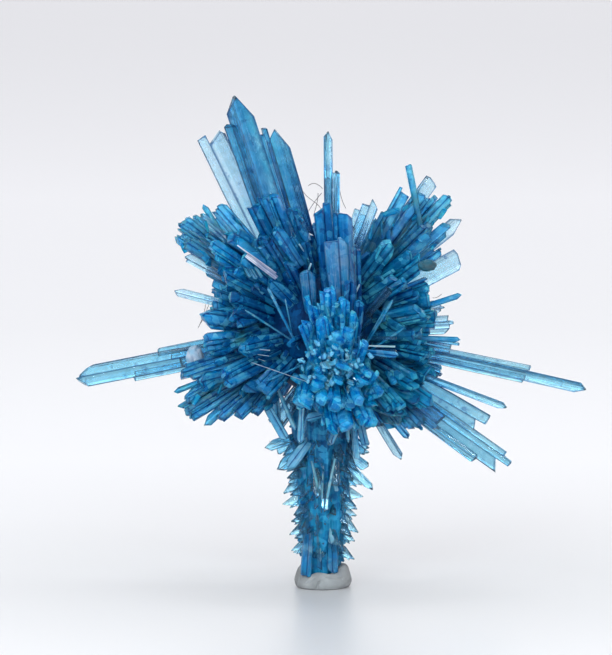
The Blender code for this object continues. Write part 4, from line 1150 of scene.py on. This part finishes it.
stalkCrystals = {"finish": "thornBlade", "rows": (
    ((-4.7, -0.8, 11.3), 0.85, 0.5, 5, "spear", (-0.6, -0.3, 12.6), 1),
    ((-3.8, -0.2, 10.9), 0.8, 0.5, 0, "slant", (-0.6, 0.0, 13.2), 1),
    ((-3.7, -1.2, 9.6), 1.0, 0.6, 10, "spear", (-0.4, -0.6, 12.0), 2),
    ((-2.8, -2.2, 9.8), 1.1, 0.5, 30, "slant", (-0.6, -0.6, 12.6), 2),
    ((-2.8, -0.6, 8.4), 0.9, 0.5, 0, "spear", (-0.4, -0.2, 10.6), 1),
    ((3.5, -0.4, 10.9), 0.9, 0.6, 10, "flat", (0.8, 0.0, 13.2), 2),
    ((3.6, -0.6, 9.6), 0.9, 0.5, 10, "slant", (0.6, 0.0, 11.8), 1),
    ((4.0, -0.8, 7.9), 0.7, 0.5, 20, "spear", (1.2, -0.3, 10.8), 1),
    ((-1.9, -3.3, 11.8), 0.6, 0.4, 10, "spear", (-0.9, -2.0, 16.4), 1),
    ((0.4, -4.4, 11.9), 0.65, 0.4, -10, "spear", (1.4, -1.4, 16.6), 1),
    ((2.5, -4.4, 12.9), 0.5, 0.35, 10, "spear", (1.9, -2.4, 17.0), 1),
    ((-0.5, -2.7, 7.4), 0.7, 0.5, 10, "spear", (-0.4, -0.9, 12.4), 1),
    ((0.1, -2.6, 6.3), 0.6, 0.5, -12, "spear", (0.5, -0.9, 12.0), 1),
    ((1.0, -2.5, 8.4), 0.9, 0.6, 16, "chisel", (0.7, -0.8, 12.8), 2),
)}


def stalkRadius(z):
    share = (z - stalk["footZ"]) / (stalk["topZ"] - stalk["footZ"])
    return stalk["footRadius"] + (stalk["topRadius"] - stalk["footRadius"]) * share


def upright(z):
    return np.array((0, 0, z))


def stalkPrisms():
    rows = []
    for angle, top, foot, footZ, width in stalk["prisms"]:
        way = np.array((math.cos(math.radians(angle)), math.sin(math.radians(angle)), 0.0))
        root = way * top + upright(stalk["topZ"] + 0.6)
        rows.append((way * foot + upright(footZ), width, width * 0.8, angle, "flat", root, 3))
    return rows


def stalkSpikes():
    # The solid's own thorns, as three-sided plates, and a small one beside each
    rows = []
    for number in range(stalk["spikes"]):
        share = (number + 0.5) / stalk["spikes"]
        z = stalk["spikeLow"] + (stalk["spikeHigh"] - stalk["spikeLow"]) * share
        angle = goldenAngle * number + eitherWay(0.3)
        out = np.array((math.cos(angle), math.sin(angle), 0.0))
        frontShare = 1 - stalk["frontCut"] * max(0.0, -out[1]) ** 2
        length = (chance.uniform(*stalk["spikeLength"]) + 0.5 * share) * frontShare
        droop = math.radians(chance.uniform(*stalk["droop"]))
        way = out * math.cos(droop) - upright(math.sin(droop))
        start = upright(z) + out * stalkRadius(z)
        size = (chance.uniform(*stalk["spikeWidth"]) + 0.2 * share) * frontShare
        turn = eitherWay(50)
        root = start - way * 0.5
        rows.append((start + way * length, size, size * 0.36, turn * 0.4, "point", root, 1))
        aside = np.array((-out[1], out[0], 0.0)) * 0.5 * (-1) ** number
        small = start + way * length * 0.55 + aside - upright(0.45)
        rows.append((small, size * 0.35, size * 0.22, turn + 40, "point", root + aside * 0.5, 1))
    return rows


def stalkGrains():
    # Tiny crystals all over the stalk, pointing out and down
    skins = []
    for _ in range(stalk["grains"]):
        z = shape.uniform(stalk["footZ"] + 1.0, stalk["topZ"] - 1.5)
        angle = shape.uniform(0, 2 * np.pi)
        out = np.array((np.cos(angle), np.sin(angle), 0.0))
        way = out * shape.uniform(0.4, 1.0)
        way = unit(way + np.array((shape.normal() * 0.25, shape.normal() * 0.25, -shape.uniform(0.3, 1.0))))
        start = out * stalkRadius(z) + upright(z)
        width = shape.uniform(*stalk["grainWidth"])
        tip = start + way * shape.uniform(*stalk["grainLength"])
        turn = shape.uniform(-60, 60)
        end = sharpEnds[shape.integers(4)]
        skins.append(bladeSkin(tip, width, width * 0.6, turn, end, start - way * 0.5, 1, 0.4, False))
    return skins


def stalkCoreSkin():
    # A tapered prism: radius falls evenly from the head to the foot, with upright flutes and small ledges
    z = np.linspace(stalk["footZ"], stalk["topZ"], stalk["heights"])[:, None]
    angle = np.linspace(0, 2 * np.pi, stalk["sides"], endpoint=False)
    flutes = 0.07 * np.cos(angle * 9 + 0.4) + 0.05 * np.cos(angle * 5 + 2.0)
    ledges = 0.03 * np.sign(np.sin(z * 2.1)) * np.cos(angle * 4)
    radius = stalkRadius(z) * (1 + flutes + ledges)
    rings = np.stack([radius * np.cos(angle), radius * np.sin(angle), np.repeat(z, len(angle), 1)], -1)
    return ringSkin(rings, [upright(z[0, 0]), upright(z[-1, 0])], angle * 2)


# Long pale prisms that hang in front of the stalk in a V
stalkNeedles = {"finish": "palePrism", "rows": (
    ((-0.3, -2.5, 7.75), 0.3, 0.22, 10, "spear", (-0.9, -2.2, 10.4), 1),
    ((-0.12, -2.6, 7.3), 0.24, 0.2, -20, "point", (0.05, -2.2, 10.2), 1),
    ((0.3, -2.7, 7.4), 0.3, 0.22, 15, "spear", (0.95, -2.3, 10.6), 1),
    ((0.85, -2.5, 8.9), 0.4, 0.3, 30, "flat", (0.6, -1.6, 9.7), 1),
    ((1.1, -2.5, 8.0), 0.4, 0.3, -30, "slant", (0.8, -1.6, 8.9), 1),
    ((-0.2, -1.7, 2.2), 0.24, 0.2, 10, "point", (-0.15, -1.2, 4.6), 1),
    ((0.75, -1.7, 3.6), 0.7, 0.3, 20, "spear", (0.2, -1.1, 5.3), 2),
    ((-1.2, -1.5, 1.9), 0.3, 0.22, 0, "slant", (-1.15, -1.0, 4.4), 1),
)}
# Pale crystals that hang from the ball round the stalk's top
collar = {"finish": "palePrism", "rows": (
    ((-3.0, -1.7, 12.1), 0.8, 0.45, 12, "slant", (-5.4, -2.0, 16.4), 2),
    ((-3.7, -1.3, 12.9), 0.9, 0.5, -10, "spear", (-4.0, -1.4, 16.8), 2),
    ((-2.2, -2.7, 12.9), 0.42, 0.35, -14, "spear", (-3.6, -2.4, 16.2), 1),
    ((-1.85, -3.5, 11.9), 0.55, 0.4, 10, "spear", (-1.6, -3.0, 16.4), 2),
    ((-1.4, -3.7, 14.0), 0.7, 0.4, 8, "slant", (1.4, -3.2, 14.7), 2),
    ((0.5, -4.2, 11.8), 0.6, 0.42, -12, "spear", (2.0, -3.4, 15.4), 2),
    ((2.5, -4.2, 12.9), 0.42, 0.36, 14, "point", (1.7, -3.5, 15.4), 1),
    ((2.0, -3.8, 12.0), 0.36, 0.3, -10, "point", (1.8, -3.0, 15.0), 1),
    ((2.7, -2.7, 10.5), 0.6, 0.4, 16, "slant", (2.4, -1.8, 13.8), 2),
    ((3.4, -2.4, 11.6), 0.7, 0.5, -16, "chisel", (2.6, -1.6, 15.0), 2),
    ((-2.9, -2.4, 9.7), 1.0, 0.45, 20, "spear", (-0.8, -1.7, 12.4), 2),
)}
# The stalk's two feet, pressed into the front of the putty
stalkFeet = {"finish": "stalkBlade", "rows": (
    ((-1.4, -1.8, 1.0), 0.95, 0.6, 14, "flat", (-1.0, -0.9, 6.4), 2),
    ((0.8, -1.85, 1.25), 0.9, 0.5, -12, "slant", (0.7, -0.9, 6.0), 2),
)}
makePiece("stalkCore", [stalkCoreSkin()], glass["stalkCore"])
makeBlades(0.3, collar=collar)
makeBlades(0.2, stalkFeet=stalkFeet)
makePiece("stalkPrisms", skinsOf(stalkPrisms()), glass[stalk["finish"]])
makeBlades(0.5, stalkCrystals=stalkCrystals)
makePiece("stalkSpikes", skinsOf(stalkSpikes()), glass["thornBlade"])
makePiece("stalkGrains", stalkGrains(), glass[stalk["finish"]])
makeBlades(0.5, stalkNeedles=stalkNeedles)


# Grains, hairs and putty
def mottleGroup():
    # Two colours mixed by a soft noise, with a finer noise for the height
    sockets = ("First Colour", "Second Colour", "Scale", "Fine Scale")
    group, given, result = newGroup("mottle", sockets, ("Colour", "Height"))
    where = nodeOf(group, "ShaderNodeTexCoord")
    soft = nodeOf(group, "ShaderNodeTexNoise", Detail=4.0, Distortion=0.5)
    fine = nodeOf(group, "ShaderNodeTexNoise", Detail=3.0)
    for texture, scale in ((soft, "Scale"), (fine, "Fine Scale")):
        link(group, where.outputs["Object"], texture.inputs["Vector"])
        link(group, given[scale], texture.inputs["Scale"])
    share = stepped(group, soft.outputs[0], (0.38, 0.66))
    link(group, mixed(group, share, given["First Colour"], given["Second Colour"]), result["Colour"])
    link(group, fine.outputs[0], result["Height"])
    return group


mottle = mottleGroup()


def matteFinish(name, look):
    finish, tree, shader = newFinish(name)
    pattern = nodeOf(tree, "ShaderNodeGroup", node_tree=mottle)
    fill(pattern, {"First Colour": look["first"], "Second Colour": look["second"], "Scale": look["scale"],
                   "Fine Scale": look["fineScale"]})
    fill(shader, {"Roughness": look["roughness"], "Specular IOR Level": look["specular"]})
    wear(tree, shader, pattern, look["bump"], 0.04)
    return finish


def tubeSkin(path, radius, sides=6, samples=24):
    # A thin tube: rings round a smooth curve through the path's points, closed to a point at both ends
    path = np.array(path, float)
    last = len(path) - 1
    t = np.linspace(0, last, samples)
    middle = np.stack([np.polyval(np.polyfit(np.arange(last + 1), line, last), t) for line in path.T], 1)
    along = unit(np.gradient(middle, axis=0))
    across = unit(np.cross(along, (0.3, 1.0, 0.2)))
    up = np.cross(along, across)
    angle = np.linspace(0, 2 * np.pi, sides, endpoint=False)
    thin = radius * np.minimum(1, np.minimum(t, t[::-1]) * 6 + 0.3)
    ring = across[:, None] * np.cos(angle)[None, :, None] + up[:, None] * np.sin(angle)[None, :, None]
    return ringSkin(middle[:, None] + ring * thin[:, None, None], middle[[0, -1]], angle)


paleGrain = {
    "centre": (-10.25, -0.7, 18.55), "radii": (0.68, 0.6, 0.88), "lumpiness": 0.35, "steps": 16,
    "first": (0.24, 0.38, 0.50), "second": (0.40, 0.45, 0.54), "scale": 1400.0, "fineScale": 5000.0,
    "bump": 1.0, "roughness": 0.6, "specular": 0.4,
}
brownGrain = {
    "centre": (8.25, -3.5, 26.15), "radii": (0.72, 0.4, 0.44), "lumpiness": 0.3, "steps": 14,
    "first": (0.02, 0.11, 0.16), "second": (0.055, 0.09, 0.11), "scale": 1000.0, "fineScale": 4000.0,
    "bump": 0.8, "roughness": 0.35, "specular": 0.5,
}
hairs = {
    "paths": (
        ((-1.2, 0.5, 32.2), (-0.64, 0.5, 32.4), (0.0, 0.5, 31.96)),
        ((-1.6, 0.3, 31.8), (-1.04, 0.3, 31.2), (-0.4, 0.3, 30.7), (-0.08, 0.3, 30.0)),
        ((-0.08, 0.2, 31.7), (-0.64, 0.2, 31.0), (-1.2, 0.2, 30.15)),
        ((-0.4, 0.1, 31.7), (-0.48, 0.1, 30.9), (-0.8, 0.1, 29.75)),
        ((1.36, 0.4, 31.8), (1.52, 0.4, 31.1), (1.84, 0.4, 30.4)),
        ((-9.36, -0.9, 22.9), (-9.6, -0.9, 21.85), (-10.0, -0.9, 20.9)),
        ((-9.12, -0.9, 22.8), (-9.36, -0.9, 22.2), (-9.76, -0.9, 21.3)),
        ((8.72, -0.8, 23.35), (9.12, -0.8, 23.4), (9.48, -0.8, 23.67)),
        ((-4.3, -1.0, 11.9), (-3.9, -1.0, 11.6), (-3.4, -1.0, 11.75)),
    ),
    "radius": 0.022,
    "first": (0.09, 0.09, 0.11), "second": (0.16, 0.13, 0.12), "scale": 900.0, "fineScale": 4000.0,
    "bump": 0.1, "roughness": 0.5, "specular": 0.5,
}
putty = {
    # Round the lump from the left side, over the front, to the right side and the back: degrees, rim height
    "rim": ((-180, 1.75), (-152, 1.4), (-135, 0.95), (-112, 1.38), (-92, 1.36), (-68, 1.2), (-48, 1.5),
            (-22, 1.8), (20, 1.8), (90, 1.7), (180, 1.75)),
    # Lines pressed in: degrees and height at both ends, depth, half width
    "creases": (((-104, 0.15), (-98, 0.72), 0.09, 0.07), ((-82, 1.12), (-42, 0.86), 0.10, 0.08),
                ((-150, 0.3), (-148, 1.3), 0.08, 0.10), ((-128, 0.55), (-110, 0.95), 0.05, 0.09),
                ((-30, 0.4), (5, 0.62), 0.05, 0.10), ((60, 0.5), (120, 0.9), 0.07, 0.10),
                ((150, 1.2), (172, 0.5), 0.06, 0.09)),
    "foot": 1.75, "belly": 2.22, "lip": 1.82, "throat": 1.15, "depth": 1.1, "sides": 180, "sideRows": 30,
    "innerRows": 12, "waves": 4,
    "first": (0.27, 0.273, 0.282), "second": (0.345, 0.349, 0.36), "scale": 500.0, "fineScale": 5000.0,
    "bump": 0.35, "roughness": 0.75, "specular": 0.25,
}


def creaseDepth(look, angle, height):
    # Each line is pressed in, with a low lip beside it: depth times a bell curve of the distance from it
    press = np.zeros_like(height)
    for (startAngle, startZ), (endAngle, endZ), depth, halfWidth in look["creases"]:
        first = np.array((math.radians(startAngle) * look["belly"], startZ))
        span = np.array((math.radians(endAngle) * look["belly"], endZ)) - first
        place = np.stack([np.broadcast_to(angle * look["belly"], height.shape), height], -1) - first
        share = np.clip((place @ span) / (span @ span), 0, 1)
        away = np.linalg.norm(place - share[..., None] * span, axis=-1) / halfWidth
        press += depth * (np.exp(-away ** 2) - 0.4 * np.exp(-(away - 1.8) ** 2))
    return press


def puttySkin(look):
    # Putty as a pebble. Rows run from the middle of the underside over the belly to the rim and down the
    # foot: radius and height follow the rows, the rim's height the angle, and the creases press it in.
    angle = np.linspace(-np.pi, np.pi, look["sides"], endpoint=False)
    rim = np.interp(np.degrees(angle), *np.array(look["rim"]).T)
    blur = np.exp(-0.5 * (np.arange(-9, 10) / 3.5) ** 2)
    rim = np.convolve(np.concatenate([rim[-9:], rim, rim[:9]]), blur / blur.sum(), "same")[9:-9]
    turn = np.linspace(0, 1, look["sideRows"])[:, None]
    swell = np.sin(np.pi * np.minimum(turn * 0.95 + 0.05, 1) ** 0.8)
    belly = look["foot"] + (look["belly"] - look["foot"]) * swell
    shrink = np.clip((turn - 0.75) / 0.25, 0, 1) ** 2
    inner = np.linspace(0, 1, look["innerRows"])[1:, None]
    radius = np.concatenate([belly * (1 - shrink) + look["lip"] * shrink,
                             look["lip"] - (look["lip"] - look["throat"]) * np.sin(inner * np.pi / 2)])
    radius = radius * (1 + 0.03 * np.sin(2 * angle + 0.6) + 0.02 * np.sin(3 * angle))
    height = np.concatenate([rim * (1 - np.cos(turn * np.pi)) / 2,
                             rim + 0.06 * np.sin(inner * np.pi) - 0.5 * inner ** 2])
    radius = radius - creaseDepth(look, angle, height)
    for n in range(look["waves"]):
        wave = np.sin((n + 2) * angle * (1 + n % 2) + height * (3 + 2 * n) + shape.uniform(0, 6))
        radius = radius + 0.02 / (n + 1) * wave * (height > 0.1)
    radius[0] = look["foot"]
    height[0] = 0.0
    rings = np.stack([radius * np.cos(angle), radius * look["depth"] * np.sin(angle), height], -1)
    return ringSkin(rings, [upright(0.0), upright(0.6)], angle * look["belly"])


makePiece("paleGrain", [lumpSkin(paleGrain)], matteFinish("paleGrain", paleGrain))
makePiece("brownGrain", [lumpSkin(brownGrain)], matteFinish("brownGrain", brownGrain))
makePiece("hairs", [tubeSkin(path, hairs["radius"]) for path in hairs["paths"]], matteFinish("hair", hairs),
          smooth=True)
makePiece("putty", [puttySkin(putty)], matteFinish("greyPutty", putty), "putty_base", True)
